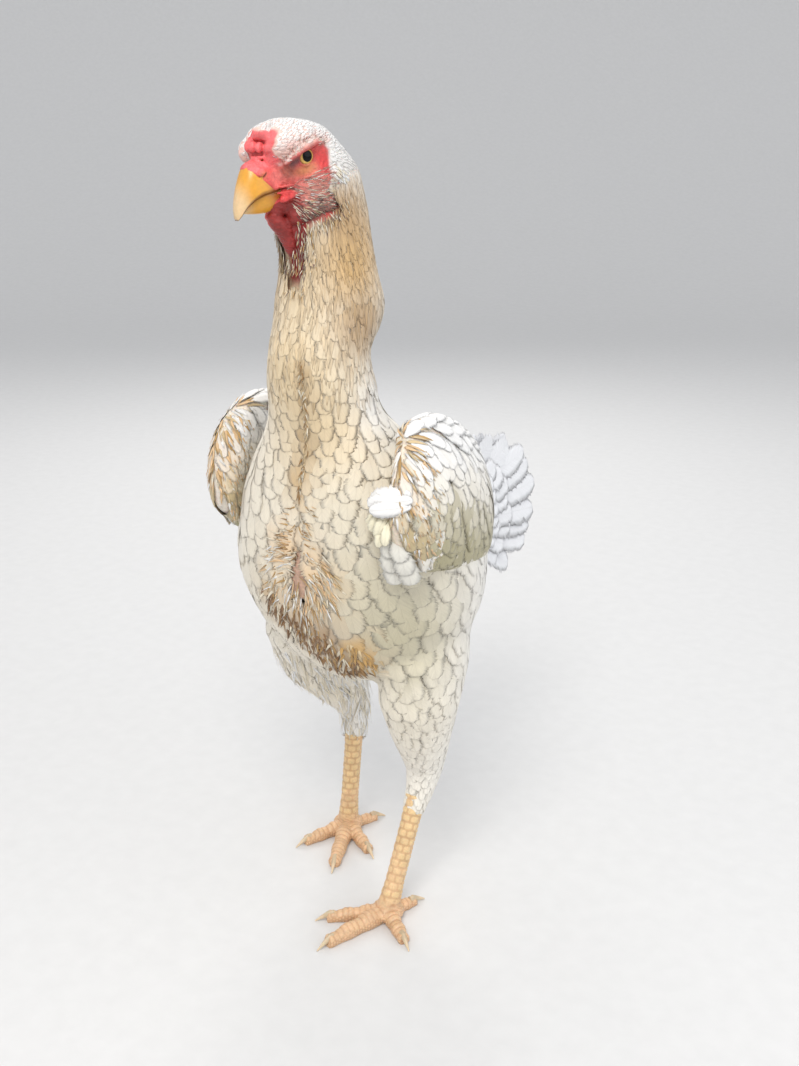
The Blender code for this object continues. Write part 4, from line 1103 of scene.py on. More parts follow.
def open_lids(points):
    """Draws the skin over each eyeball as two lids and sinks it behind the eye between them."""
    for side in (1, -1):
        ahead, outward, up = eye_axes(side)
        middle = eye_middle(side)
        offset = points - middle
        reach = np.linalg.norm(offset, axis=1)
        way = unit(offset)
        angle = np.arccos(np.clip(way @ outward, -1, 1))
        lean = np.arctan2(way @ up, way @ ahead)
        squeeze = np.where(lean > 0, UPPER_LID[0], LOWER_LID[0])
        slant = np.where(lean > 0, UPPER_LID[1], LOWER_LID[1])
        opening = LID_OPENING * (1 - squeeze * np.sin(lean + slant) ** 2)
        past = angle - opening
        crease = CREASE_HEIGHT * np.cos(past * EYE_RADIUS / CREASE_STEP * 2 * math.pi)
        crease = crease * ramp(0.05, 0.15, past) * ramp(0.9, 0.3, past)
        rim = RIM_HEIGHT * np.exp(-((past - RIM_ANGLE) / RIM_ANGLE) ** 2)
        lid = EYE_RADIUS + LID_HEIGHT + rim + crease
        near = (past > 0) & (angle < LID_END) & (reach < EYE_RADIUS * 1.6)
        new_reach = np.where(near, np.maximum(reach, lid), reach)
        inside = (past <= 0) & (reach < EYE_RADIUS * 1.7)
        new_reach = np.where(inside, np.minimum(reach, EYE_RADIUS * 0.90), new_reach)
        points = middle + way * new_reach[:, None]
    return points


def wrinkles(places):
    """How far the skin of the face stands out in folds, lumps and pores."""
    forward, left, up = places.T
    eye_gap = np.hypot(forward, up)
    bare_face = ramp(0.0, 0.004, face_edge(places)) * (1 - comb_share(places))
    round_eye = np.stack([eye_gap, np.arctan2(up, forward) * eye_gap * 0.22, left * 0.3], -1)
    warped = round_eye + 0.0012 * noise(places, 0.006, 5)[:, None]
    folds = 1 - np.abs(noise(warped, FACE_FOLDS[1], 1)) * 2
    cheek = ramp(0.007, 0.011, eye_gap)
    height = FACE_FOLDS[0] * folds * bare_face * cheek
    height += FACE_PORES[0] * noise(places, FACE_PORES[1], 2) * bare_face * cheek
    comb = comb_share(places)
    lumps = COMB_LUMPS[0] * noise(places * (1.0, 1.0, 1.6), COMB_LUMPS[1], 7)
    flat_part = ramp(0.013, 0.008, up)
    height += comb * (COMB_GRAIN[0] * noise(places, COMB_GRAIN[1], 8) + lumps * flat_part)
    return height - NOSTRIL_DEPTH * nostril(places) - GAPE_DEPTH * gape(places)


def relax(mesh, weights, passes):
    """Smooths a mesh where the weights are high."""
    one, other = read(mesh.edges, "vertices", 2, np.int32).T
    points = points_of(mesh)
    count = len(points)
    share = np.bincount(one, minlength=count) + np.bincount(other, minlength=count)
    for _ in range(passes):
        total = np.stack([
            np.bincount(one, points[other, k], count) + np.bincount(other, points[one, k], count)
            for k in range(3)
        ], -1)
        middle = total / np.maximum(share, 1)[:, None]
        points = points + (middle - points) * (0.7 * weights)[:, None]
    set_points(mesh, points)


HEAD_VOXEL = 0.00052
HEAD_PASSES = 45


def make_head():
    """Skull, cere, comb, brows, lids, folds and dewlap in one fine surface."""
    parts = [skull(), cere(), head_egg(CHIN), head_egg(RIGHT_PUFF, -1)]
    for side in (1, -1):
        parts.append(head_egg(EAR_LOBE, side))
        parts.append(head_egg(GAPE_FOLD, side))
        parts.append(head_egg(NOSTRIL_FLAP, side))
        parts.append(head_rope(BROW, BROW_RADIUS, side))
        for form in JOWLS:
            parts.append(head_egg(form, side))
        for places, radius in FOLDS:
            parts.append(head_rope(places, radius, side))
    for places, radius in COMB_FOLDS:
        parts.append(head_rope(places, radius, 1))
    throat = curve(DEWLAP, 50)
    parts.append(rope(head_point(throat[:, :3]), throat[:, 3], sides=24, flat=0.8))
    mesh = remeshed(*joined(parts), HEAD_VOXEL, 3)
    places = on_head(points_of(mesh))
    low = ramp(-0.0185, -0.0240, places[:, 2]) * ramp(0.031, 0.026, places[:, 0])
    relax(mesh, np.maximum(low, 0.3 * face_edge(places).clip(0, 0.001) * 1000), HEAD_PASSES)
    points = open_lids(points_of(mesh))
    set_points(mesh, points)
    points = points + normals_of(mesh) * wrinkles(on_head(points))[:, None]
    set_points(mesh, points)
    return mesh


# Left wing by share of its length: x, y and z of its middle, half height, thickness
WING_STATIONS = (
    (0.00, 0.0760, -0.0730, 0.3720, 0.0240, 0.0130),
    (0.07, 0.0840, -0.0660, 0.3710, 0.0410, 0.0230),
    (0.22, 0.0900, -0.0400, 0.3685, 0.0540, 0.0270),
    (0.42, 0.0890, 0.0020, 0.3560, 0.0530, 0.0230),
    (0.62, 0.0790, 0.0460, 0.3380, 0.0440, 0.0150),
    (0.82, 0.0580, 0.0880, 0.3180, 0.0290, 0.0080),
    (1.00, 0.0370, 0.1260, 0.3000, 0.0150, 0.0030),
)
WING_TABLE = [(row[2], row[0], row[1], row[3], row[4]) for row in WING_STATIONS]
# How strongly the wing's plate curves in towards its edges, and its lean in from the bottom up
WING_CAMBER = 3.2
WING_LEAN = -0.16
# How far the right wing lies in from the left wing's mirror image
WING_TUCK = 0.003
# How far the skin of the arm lies in from the wing's outline
ARM_INSET = 0.003
# Points round each ring of the wing's arm and of the tail's root
WING_SIDES = 48
TAIL_SIDES = 40
# Root of the tail: place along the bird, underside, top, half width
TAIL_SECTIONS = (
    (0.09, 0.270, 0.330, 0.026),
    (0.13, 0.262, 0.322, 0.022),
    (0.15, 0.270, 0.316, 0.014),
    (0.164, 0.282, 0.306, 0.006),
)


def wing_skin(share, rise):
    """How far out the wing's own surface lies at a rise above its middle line."""
    row = along(WING_STATIONS, share)
    inside = np.maximum(0.05, 1.0 - (rise / row[:, 3]) ** 2)
    return np.maximum(row[:, 4], 0.0) / 2 * inside**0.3


def wing_point(side, share, rise, out):
    """Points of a wing's plate: rise up it and out from its middle, both in metres."""
    step = 0.01
    middle = along(WING_STATIONS, share)[:, :3]
    run = unit(along(WING_STATIONS, share + step)[:, :3] - along(WING_STATIONS, share - step)[:, :3])
    up = np.array([WING_LEAN, 0.0, 1.0])
    up = unit(up - run * (run @ up)[:, None])
    outward = np.cross(run, up)
    points = middle + up * rise[:, None] + outward * (out - WING_CAMBER * rise**2)[:, None]
    if side < 0:
        points = points * (-1, 1, 1) + (WING_TUCK, 0, 0)
    return points


def wing_core(side, inset):
    """The folded arm and hand as a plate, thick at the leading edge."""
    rings = []
    turn = circle(WING_SIDES)
    for share in np.linspace(0.02, 0.86, 40):
        half_height, thickness = along(WING_STATIONS, share)[0, 3:]
        rise = (half_height - inset) * np.cos(turn)
        out = max(thickness / 2 - inset * 0.5, 0.0012) * fullness(turn, 0.6)
        rings.append(wing_point(side, np.full(WING_SIDES, share), rise, out))
    return loft(rings)


def tail_core():
    rings = []
    turn = circle(TAIL_SIDES)
    for place, low, high, wide in TAIL_SECTIONS:
        height = (low + high) / 2 + (high - low) / 2 * np.cos(turn)
        rings.append(np.stack([wide * np.sin(turn), np.full(TAIL_SIDES, place), height], -1))
    return loft(rings)


BODY_NODES = ("torso", "neck_lower", "neck_upper", "thigh_left", "thigh_right")
BODY_VOXEL = 0.0030
# How deep the skin lies under the coat's depth, and the height of its own bumps where it is bare
SKIN_DEPTH = 0.0004
SKIN_BUMPS = 0.0004


def make_body():
    """The plumage's own outer surface, to lay the feathers on, and the skin that lies under it."""
    parts = [cad_form(*BODY_NODES), cad_form("head"), tail_core()]
    hull = remeshed(*joined(parts), BODY_VOXEL, 8)
    points = points_of(hull)
    normals = normals_of(hull)
    depth = plumage(points)[1][:, 3] * (1 - 0.85 * bare(points)) + SKIN_DEPTH
    skin = hull.copy()
    inner = points - normals * depth[:, None]
    inner += normals * (SKIN_BUMPS * noise(points, 0.007, 4))[:, None] * bare(points)[:, None]
    set_points(skin, inner)
    return hull, skin


def make_skin(body, head):
    """One closed skin from the body, the head and the arms of the wings."""
    skin = new_object("skin", body)
    others = [new_object("head_skin", head)]
    for side in (1, -1):
        others.append(new_object("wing_skin", new_mesh("wing_skin", *wing_core(side, ARM_INSET))))
    gathered = bpy.data.collections.new("gathered")
    for other in others:
        gathered.objects.link(other)
    fuse = skin.modifiers.new("fuse", "BOOLEAN")
    fuse.operation = "UNION"
    fuse.solver = "MANIFOLD"
    fuse.operand_type = "COLLECTION"
    fuse.collection = gathered
    mesh = evaluated(skin)
    for other in others:
        bpy.data.objects.remove(other, do_unlink=True)
    bpy.data.collections.remove(gathered)
    points = points_of(mesh)
    set_points(mesh, points + SHIFT)
    dress(mesh, skin_colour(points), "skin")
    replaced = BODY_NODES + ("head", "comb", "dewlap")
    return finish_piece(new_object("skin", mesh), replaced)


# Materials


class Looks:
    """A material's shader and the nodes that feed it."""

    def __init__(self, name, roughness=0.6, coat_roughness=0.03, **weights):
        self.material = bpy.data.materials.new(name)
        self.material.use_nodes = True
        self.tree = self.material.node_tree
        self.shader = self.tree.nodes["Principled BSDF"]
        self.shader.inputs["Roughness"].default_value = roughness
        self.shader.inputs["Coat Roughness"].default_value = coat_roughness
        self.shader.inputs["Subsurface Scale"].default_value = 0.0025
        for word, value in weights.items():
            self.shader.inputs[word.capitalize() + " Weight"].default_value = value

    def node(self, kind, sources, out=0, **settings):
        """A node with its inputs fed, by their names or places. Gives one of its outputs."""
        made = self.tree.nodes.new("ShaderNode" + kind)
        for key, value in settings.items():
            setattr(made, key, value)
        for key, source in sources.items():
            self.feed(made.inputs[key], source)
        return made.outputs[out]

    def feed(self, socket, source):
        if isinstance(source, bpy.types.NodeSocket):
            self.tree.links.new(source, socket)
        else:
            socket.default_value = source

    def tint(self):
        return self.node("Attribute", {}, "Color", attribute_name="Tint")

    def places(self):
        return self.node("TexCoord", {}, "Object")

    def sum(self, operation, one, other=0.0):
        return self.node("Math", {0: one, 1: other}, operation=operation)

    def noise(self, vector, scale, detail=3.0):
        return self.node("TexNoise", {"Vector": vector, "Scale": scale, "Detail": detail})

    def cells(self, vector, scale):
        sources = {"Vector": vector, "Scale": scale}
        return self.node("TexVoronoi", sources, feature="DISTANCE_TO_EDGE")

    def levels(self, value, low, high, to_low, to_high):
        sources = {0: value, 1: low, 2: high, 3: to_low, 4: to_high}
        return self.node("MapRange", sources)

    def spread(self, pattern, to_low, to_high):
        """A noise's usual values spread between two others."""
        return self.levels(pattern, 0.3, 0.7, to_low, to_high)

    def mix(self, one, other, share, way="MIX"):
        sources = {0: share, 6: one, 7: other}
        return self.node("Mix", sources, 2, data_type="RGBA", blend_type=way)

    def mottled(self, one, one_range, other, other_range):
        """The tint, darker and lighter by two patterns, each from its lowest share to its highest."""
        shade = self.sum("MULTIPLY", self.spread(one, *one_range), self.spread(other, *other_range))
        shades = self.node("CombineXYZ", {0: shade, 1: shade, 2: shade})
        return self.mix(self.tint(), shades, 1.0, "MULTIPLY")

    def finish(self, tint, roughness=None, height=None, distance=0.0002):
        self.feed(self.shader.inputs["Base Color"], tint)
        if roughness is not None:
            self.feed(self.shader.inputs["Roughness"], roughness)
        if height is not None:
            bump = self.node("Bump", {"Height": height, "Distance": distance}, 0)
            self.feed(self.shader.inputs["Normal"], bump)
        return self.material


def dress(mesh, tints, material):
    """Gives a smooth mesh a colour for each point and its material."""
    paint(mesh, "Tint", np.clip(tints, 0, 1))
    mesh.shade_smooth()
    mesh.materials.clear()
    mesh.materials.append(MATERIALS[material])


def gray(value):
    return (value, value, value, 1.0)


# Distance out from a feather's middle where its shaft starts to fade and where it ends
SHAFT_HALF = 0.00012
SHAFT_FADE = 0.00035
# Barbs and locks of barbs: how many to a metre along the vane and across it
BARBS = (2300.0, 90.0)
LOCKS = (520.0, 60.0)
BARB_SLANT = 0.8


def feather_look():
    """Vanes: streaks along the barbs, which slant forward from the shaft."""
    looks = Looks("feather", sheen=0.20)
    barbs = looks.node("SeparateXYZ", {0: looks.node("UVMap", {}, uv_map="Barbs")})
    parts = barbs.node
    length, side = parts.outputs[0], looks.sum("ABSOLUTE", parts.outputs[1])
    strand = looks.sum("SUBTRACT", length, looks.sum("MULTIPLY", side, BARB_SLANT))
    patterns = []
    for (lengthwise, crosswise), detail in ((BARBS, 2.0), (LOCKS, 3.0)):
        vector = looks.node("CombineXYZ", {
            0: looks.sum("MULTIPLY", strand, lengthwise),
            1: looks.sum("MULTIPLY", parts.outputs[1], crosswise),
        })
        patterns.append(looks.noise(vector, 1.0, detail))
    streaks, locks = patterns
    shaft = looks.levels(side, SHAFT_HALF, SHAFT_FADE, 1.0, 0.0)
    tint = looks.mottled(streaks, (0.93, 1.04), locks, (0.94, 1.03))
    tint = looks.mix(tint, gray(0.86), looks.sum("MULTIPLY", shaft, 0.18), "MULTIPLY")
    height = looks.sum("ADD", looks.sum("MULTIPLY", locks, 1.6), streaks)
    height = looks.sum("ADD", height, shaft)
    roughness = looks.spread(locks, 0.62, 0.80)
    return looks.finish(tint, roughness, height, 0.00013)


def skin_look():
    """Bare skin: pores, fine folds and a little gloss."""
    looks = Looks("skin", coat_roughness=0.35, subsurface=0.12, coat=0.10)
    places = looks.places()
    pores = looks.cells(places, 900.0)
    folds = looks.noise(places, 420.0, 4.0)
    patches = looks.noise(places, 90.0, 3.0)
    tint = looks.mottled(folds, (0.80, 1.12), patches, (0.88, 1.08))
    height = looks.sum("ADD", looks.sum("MULTIPLY", pores, 1.2), folds)
    return looks.finish(tint, looks.spread(folds, 0.38, 0.58), height, 0.00030)


def scale_look():
    looks = Looks("scales", coat_roughness=0.3, subsurface=0.06, coat=0.12)
    places = looks.places()
    grain = looks.noise(places, 650.0, 4.0)
    patches = looks.noise(places, 110.0, 3.0)
    tint = looks.mottled(grain, (0.90, 1.06), patches, (0.86, 1.08))
    return looks.finish(tint, looks.spread(grain, 0.36, 0.56), grain, 0.00012)


def horn_look(name, coat):
    """Horn: faint streaks and a soft polish."""
    looks = Looks(name, coat_roughness=0.18, subsurface=0.08, coat=coat)
    places = looks.places()
    grain = looks.noise(places, 380.0, 4.0)
    clouds = looks.noise(places, 70.0, 2.0)
    tint = looks.mottled(grain, (0.92, 1.05), clouds, (0.92, 1.05))
    return looks.finish(tint, looks.spread(grain, 0.30, 0.45), grain, 0.00008)


def eye_look():
    looks = Looks("eye", roughness=0.10, coat_roughness=0.02, coat=0.12)
    looks.shader.inputs["Specular IOR Level"].default_value = 0.15
    grain = looks.noise(looks.places(), 1500.0, 3.0)
    tint = looks.mix(looks.tint(), gray(0.8), looks.levels(grain, 0.45, 0.7, 0.0, 0.5), "MULTIPLY")
    return looks.finish(tint)


MATERIALS = {
    "feather": feather_look(),
    "skin": skin_look(),
    "scales": scale_look(),
    "horn": horn_look("horn", 0.35),
    "claw": horn_look("claw", 0.20),
    "eye": eye_look(),
}


def solid_piece(name, points, faces, tints, material, nodes):
    """A closed piece with a colour for each point, moved into the model's frame."""
    mesh = new_mesh(name, points + SHIFT, faces)
    dress(mesh, tints, material)
    return finish_piece(new_object(name, mesh), nodes)


# Beaks, eyes and claws


def horn_colour(forward):
    tint = blend(BEAK_ORANGE, BEAK_YELLOW, ramp(0.026, 0.033, forward)[:, None])
    return blend(tint, BEAK_TIP, ramp(0.040, 0.051, forward)[:, None])


def make_beak(name, stations, arch):
    rings = []
    forwards = np.linspace(stations[0][0] + 0.001, stations[-1][0], 90)
    for forward, (first, second, half_width) in zip(forwards, along(stations, forwards)):
        ridge, edge = (first, second) if arch > 0 else (second, first)
        rings.append(beak_ring(ridge, edge, half_width, forward, arch, sides=40))
    points, faces = loft(rings)
    forward = points[:, 0]
    first, second = along(stations, forward).T[:2]
    edge = second if arch > 0 else first
    lip = 1 - ramp(0.0001, 0.0007, (points[:, 2] - edge) * arch)
    tints = blend(horn_colour(forward), MOUTH, 0.8 * lip[:, None])
    points = head_point(points)
    return solid_piece(name, points, faces, tints, "horn", (name,))


# Radians out from the middle of the eye: where the iris darkens, where it ends, where the eye's
# dark rim is full
IRIS_DARKENS = 0.60
IRIS_END = 0.72
EYE_RIM = 0.80
EYE_STEPS = 120


def make_eye(side):
    ahead, outward, up = eye_axes(side)
    name = "eye_" + SIDE_WORDS[side]
    tilt = np.concatenate([np.linspace(0.01, 1.1, 90), np.linspace(1.14, math.pi - 0.01, 40)])
    turn = circle(EYE_STEPS)
    tilts, turns = np.meshgrid(tilt, turn, indexing="ij")
    way = np.cos(tilts)[..., None] * outward
    way = way + (np.sin(tilts) * np.cos(turns))[..., None] * ahead
    way = way + (np.sin(tilts) * np.sin(turns))[..., None] * up
    points, faces = loft(eye_middle(side) + way * EYE_RADIUS)
    angle = np.append(tilts.ravel(), [0.0, math.pi])
    spoke = np.stack([np.append(turns.ravel(), [0, 0]) * 9, angle * 4, angle * 0], -1)
    tints = blend(IRIS, IRIS_EDGE, (0.22 + 0.22 * noise(spoke, 0.5, 6))[:, None])
    tints = blend(tints, IRIS_EDGE, 0.7 * ramp(IRIS_DARKENS, IRIS_END, angle)[:, None])
    tints = blend(tints, MOUTH, ramp(IRIS_END, EYE_RIM, angle)[:, None])
    edge = PUPIL_ANGLE + 0.012 * noise(spoke, 0.9, 2)
    tints = blend(PUPIL, tints, ramp(-0.012, 0.018, angle - edge)[:, None])
    return solid_piece(name, points, faces, tints, "eye", (name,))


# Half width and half depth of the shank, height and radius of the palm, length and radius of claws
SHANK_WIDTH = 0.0074
SHANK_DEPTH = 0.0084
PALM_HEIGHT = 0.0125
PALM_RADIUS = 0.0135
CLAW_LENGTH = 0.0125
CLAW_RADIUS = 0.0033
# Legs from the hip down to the bare shank: x, y and z of the middle, half width, half depth
LEFT_LEG = (
    (0.0560, 0.0120, 0.2800, 0.0120, 0.0160),
    (0.0570, 0.0100, 0.2600, 0.0290, 0.0380),
    (0.0565, 0.0020, 0.2200, 0.0325, 0.0440),
    (0.0550, -0.0005, 0.1850, 0.0305, 0.0365),
    (0.0530, 0.0055, 0.1560, 0.0245, 0.0280),
    (0.0515, 0.0115, 0.1310, 0.0185, 0.0210),
    (0.0505, 0.0135, 0.1130, 0.0145, 0.0160),
    (0.0500, 0.0070, 0.0960, 0.0115, 0.0120),
    (0.0495, -0.0030, 0.0790, 0.0088, 0.0095),
)
RIGHT_LEG = (
    (-0.0560, 0.0120, 0.2800, 0.0120, 0.0160),
    (-0.0580, 0.0120, 0.2600, 0.0300, 0.0400),
    (-0.0620, 0.0120, 0.2200, 0.0370, 0.0460),
    (-0.0640, 0.0240, 0.1850, 0.0330, 0.0380),
    (-0.0570, 0.0400, 0.1560, 0.0240, 0.0280),
    (-0.0540, 0.0510, 0.1340, 0.0165, 0.0190),
    (-0.0520, 0.0560, 0.1190, 0.0130, 0.0145),
    (-0.0522, 0.0550, 0.1050, 0.0105, 0.0110),
    (-0.0526, 0.0535, 0.0930, 0.0086, 0.0092),
)
# Middle of each foot on the ground
LEFT_PALM = (0.0490, -0.0370)
RIGHT_PALM = (-0.0550, 0.0460)
# Toes: where the claw's point comes down, half width at the root
LEFT_TOES = {
    "inner": (0.0045, -0.0760, 0.0072),
    "middle": (0.0290, -0.1040, 0.0080),
    "outer": (0.0880, -0.0630, 0.0072),
    "hind": (0.0610, -0.0010, 0.0062),
}
RIGHT_TOES = {
    "inner": (-0.0070, 0.0200, 0.0072),
    "middle": (-0.0240, -0.0180, 0.0080),
    "outer": (-0.0740, -0.0060, 0.0072),
    "hind": (-0.0390, 0.0820, 0.0062),
}


LEGS = {
    1: (LEFT_LEG, LEFT_PALM, LEFT_TOES),
    -1: (RIGHT_LEG, RIGHT_PALM, RIGHT_TOES),
}
LEG_VOXEL = 0.00058
SCALE_HEIGHT = 0.00055
# Plates and scales of the shank, along it and round it, and of the toes
SHANK_PLATE = (0.0062, 0.0084)
SHANK_SCALE = (0.0036, 0.0034)
TOE_PLATE = 0.0046
TOE_SCALE = (0.0025, 0.0027)
# Metres round the shank for each radian of turn
SHANK_ROUND = 0.0080


def toe_line(palm, toe):
    """Where a toe starts, its direction, length and half width."""
    start = np.array([palm[0], palm[1], 0.0])
    run = np.array([toe[0], toe[1], 0.0]) - start
    length = np.linalg.norm(run) - CLAW_LENGTH * 0.75
    return start, unit(run), length, toe[2]


def toe_radius(share, half_width):
    return half_width * (1 - 0.36 * share) * (1 + 0.07 * np.cos(share * 6 * math.pi))


def make_claw(side, name, palm, toe):
    start, run, length, half_width = toe_line(palm, toe)
    radius = toe_radius(1.0, half_width) * 0.82
    across = np.array([-run[1], run[0], 0.0])
    turn = circle(24)
    rings = []
    for share in np.linspace(-0.25, 1.0, 36):
        bent = max(share, 0.0)
        thick = CLAW_RADIUS * (1.02 - 0.86 * bent - 0.06 * (share < 0.0))
        height = radius * 0.80 * (1 - bent**1.6) + thick
        place = start + run * (length + CLAW_LENGTH * (share - 0.25)) + (0, 0, height)
        sine = np.sin(turn)
        squeezed = 0.80 - 0.18 * (sine > 0) * sine
        ring = across * (thick * squeezed * np.cos(turn))[:, None]
        rings.append(place + ring + np.stack([0 * turn, 0 * turn, thick * sine], -1))
    points, faces = loft(rings)
    share = ((points - start) @ run - length) / CLAW_LENGTH
    tints = blend(CLAW * 0.82, CLAW, ramp(0.0, 0.35, share)[:, None])
    tints = blend(tints, CLAW * 1.12, ramp(0.5, 0.8, share)[:, None])
    word = "claw_" + SIDE_WORDS[side] + "_" + name
    return solid_piece(word, points, faces, tints, "claw", (word,))


def shank_axes(stations, palm):
    top = np.array(stations[-1][:3])
    bottom = np.array([palm[0], palm[1], PALM_HEIGHT * 0.6])
    run = bottom - top
    across = unit(np.array([1.0, 0, 0]) - run * (run[0] / (run @ run)))
    fore = unit(np.cross(run, across))
    if fore[1] > 0:
        fore = -fore
    return top, run, across, fore


def shank_form(stations, palm):
    top, run, across, fore = shank_axes(stations, palm)
    turn = circle(64)
    rings = []
    for share in np.linspace(-0.20, 0.99, 70):
        swell = 1 + 0.22 * max(0.0, share - 0.7) / 0.3
        knee = 1 + 0.20 * max(0.0, 0.08 - share) / 0.28
        wide = across * (np.sin(turn) * SHANK_WIDTH * swell * knee)[:, None]
        deep = fore * (np.cos(turn) * SHANK_DEPTH * swell * knee)[:, None]
        rings.append(top + run * share + wide + deep)
    return loft(rings)


def toe_form(palm, toe):
    start, run, length, half_width = toe_line(palm, toe)
    across = np.array([-run[1], run[0], 0.0])
    turn = circle(40)
    rings = []
    for share in np.concatenate([np.linspace(0, 0.96, 60), [0.98, 0.995, 1.0]]):
        radius = toe_radius(share, half_width)
        radius = radius * (1 - 0.30 * max(0.0, share - 0.96) / 0.04)
        height = np.maximum(0.72 * radius + 1.02 * radius * np.cos(turn), 0.0)
        wide = across * (radius * np.sin(turn))[:, None]
        rings.append(start + run * (length * share) + wide + height[:, None] * (0, 0, 1))
    return loft(rings)


def scute(u, v, size_u, size_v):
    """How high a plate stands at u, v on a lattice of rounded plates half a step out of phase."""
    row = np.floor(u / size_u)
    part_u = u / size_u - row
    shifted = v / size_v + 0.5 * (row % 2)
    part_v = shifted - np.floor(shifted)
    gap_u = np.minimum(part_u, 1 - part_u) * size_u
    gap_v = np.minimum(part_v, 1 - part_v) * size_v
    corner = 0.36 * min(size_u, size_v)
    spare = np.hypot(np.maximum(corner - gap_u, 0.0), np.maximum(corner - gap_v, 0.0))
    return ramp(0.0, 0.9 * corner, corner - spare) * (0.70 + 0.30 * part_u)


def leg_relief(points, normals, stations, palm, toes):
    """Height of the scales over the smooth leg, from 0 in a groove to 1, and how much is foot."""
    top, run, across, fore = shank_axes(stations, palm)
    offset = points - top
    share = offset @ run / (run @ run)
    wide, deep = offset @ across, offset @ fore
    turn = np.arctan2(wide / SHANK_WIDTH, deep / SHANK_DEPTH)
    reach = np.hypot(wide / SHANK_WIDTH, deep / SHANK_DEPTH)
    size = np.linalg.norm(run)
    front = scute(share * size, turn * SHANK_ROUND + SHANK_PLATE[1] / 2, *SHANK_PLATE)
    small = scute(share * size, turn * SHANK_ROUND, *SHANK_SCALE)
    relief = blend(small, front, ramp(1.75, 1.55, np.abs(turn)))
    foot = ramp(0.80, 0.98, share)
    best = np.full(len(points), 1e9)
    toe_relief = small * 0
    for toe in toes.values():
        start, way, length, half_width = toe_line(palm, toe)
        ahead = (points - start) @ way
        beside = (points - start) @ np.array([-way[1], way[0], 0.0])
        gap = np.hypot(beside, np.maximum(-ahead, 0.0))
        lean = np.abs(beside) / np.maximum(half_width, 1e-6)
        plates = scute(ahead, beside * 0 + 0.25, TOE_PLATE, 1.0)
        grain = scute(ahead, points[:, 2] + beside * 0.4, *TOE_SCALE)
        upper = ramp(0.25, 0.55, normals[:, 2]) * ramp(0.95, 0.75, lean)
        here = blend(grain, plates, upper)
        nearer = gap < best
        toe_relief = np.where(nearer, here, toe_relief)
        best = np.minimum(best, gap)
    foot = np.maximum(foot, (reach > 1.7) * 1.0)
    sole = ramp(0.0016, 0.0006, points[:, 2])
    return blend(relief, toe_relief, foot), foot, sole


def make_leg(side):
    """Shank, palm and toes in one scaly surface."""
    stations, palm, toes = LEGS[side]
    word = SIDE_WORDS[side]
    parts = [shank_form(stations, palm)]
    middle = (palm[0], palm[1], PALM_HEIGHT * 0.42 + 0.0012)
    radii = (PALM_RADIUS, PALM_RADIUS, PALM_HEIGHT * 0.58)
    parts.append(egg(middle, radii))
    parts += [toe_form(palm, toe) for toe in toes.values()]
    mesh = remeshed(*joined(parts), LEG_VOXEL, 4)
    points = points_of(mesh)
    normals = normals_of(mesh)
    relief, foot, sole = leg_relief(points, normals, stations, palm, toes)
    points = points + normals * ((relief - 0.6) * SCALE_HEIGHT * (1 - sole))[:, None]
    points[:, 2] = np.maximum(points[:, 2], 0.0)
    tints = blend(LEG_YELLOW, LEG_PINK, (0.25 + 0.6 * foot)[:, None])
    tints = blend(tints, LEG_GROOVE, 0.42 * (1 - ramp(0.0, 0.55, relief))[:, None])
    tints = blend(tints, LEG_PINK, 0.35 * (noise(points, 0.009, 3) > 0.2)[:, None])
    set_points(mesh, points + SHIFT)
    dress(mesh, tints, "scales")
    piece = new_object("leg_" + word, mesh)
    finish_piece(piece, ("shank_" + word, "foot_" + word))
    for name, toe in toes.items():
        make_claw(side, name, palm, toe)


# Coat

# The body's middle line: height, x, y
MIDDLE_LINE = (
    (0.06, 0.0, 0.010),
    (0.20, 0.0, 0.010),
    (0.30, 0.0, 0.015),
    (0.38, 0.0, -0.005),
    (0.44, 0.0, -0.040),
    (0.54, -0.002, -0.038),
    (0.62, -0.006, -0.050),
)


def fitted(flat):
    """Flat places moved and sized to fill the map."""
    low, high = flat.min(0), flat.max(0)
    return 0.01 + 0.98 * (flat - low) / np.maximum(high - low, 1e-6)


def turn_round(table, points):
    """The turn of points round a line (height, x, y, ...), from the bird's front."""
    middle = along(table, points[:, 2])
    return np.arctan2(points[:, 0] - middle[:, 0], middle[:, 1] - points[:, 1])


def unwrapped(points):
    """The body's surface laid flat: the turn round its middle line, and the height."""
    return fitted(np.stack([turn_round(MIDDLE_LINE, points), points[:, 2]], -1))


def by_height(stations):
    """A leg's stations from the lowest, as rows of height and the rest."""
    return [(z, x, y, wide, deep) for x, y, z, wide, deep in reversed(stations)]


# Adds a gap between the two thighs on their map
THIGHS_APART = 3.3


def leg_unwrapped(points):
    """Both thighs laid flat, side by side."""
    left, right = (turn_round(by_height(stations), points) for stations in (LEFT_LEG, RIGHT_LEG))
    turn = np.where(points[:, 0] > 0, left + THIGHS_APART, right - THIGHS_APART)
    return fitted(np.stack([turn, points[:, 2]], -1))


def leg_reach(points):
    """How far out points lie from the nearer thigh's middle line, as a share of its thickness."""
    best = np.full(len(points), 9.0)
    for stations in (LEFT_LEG, RIGHT_LEG):
        row = along(by_height(stations), points[:, 2])
        reach = np.hypot((points[:, 0] - row[:, 0]) / row[:, 2], (points[:, 1] - row[:, 1]) / row[:, 3])
        best = np.minimum(best, reach)
    return best


def face_gap(points):
    """Distance out from the bare face, large away from the head."""
    places = on_head(points)
    near = np.linalg.norm(places - (0.006, 0.0, -0.014), axis=1)
    gap = -face_edge(places)
    return np.where(near < 0.060, gap, 1.0)


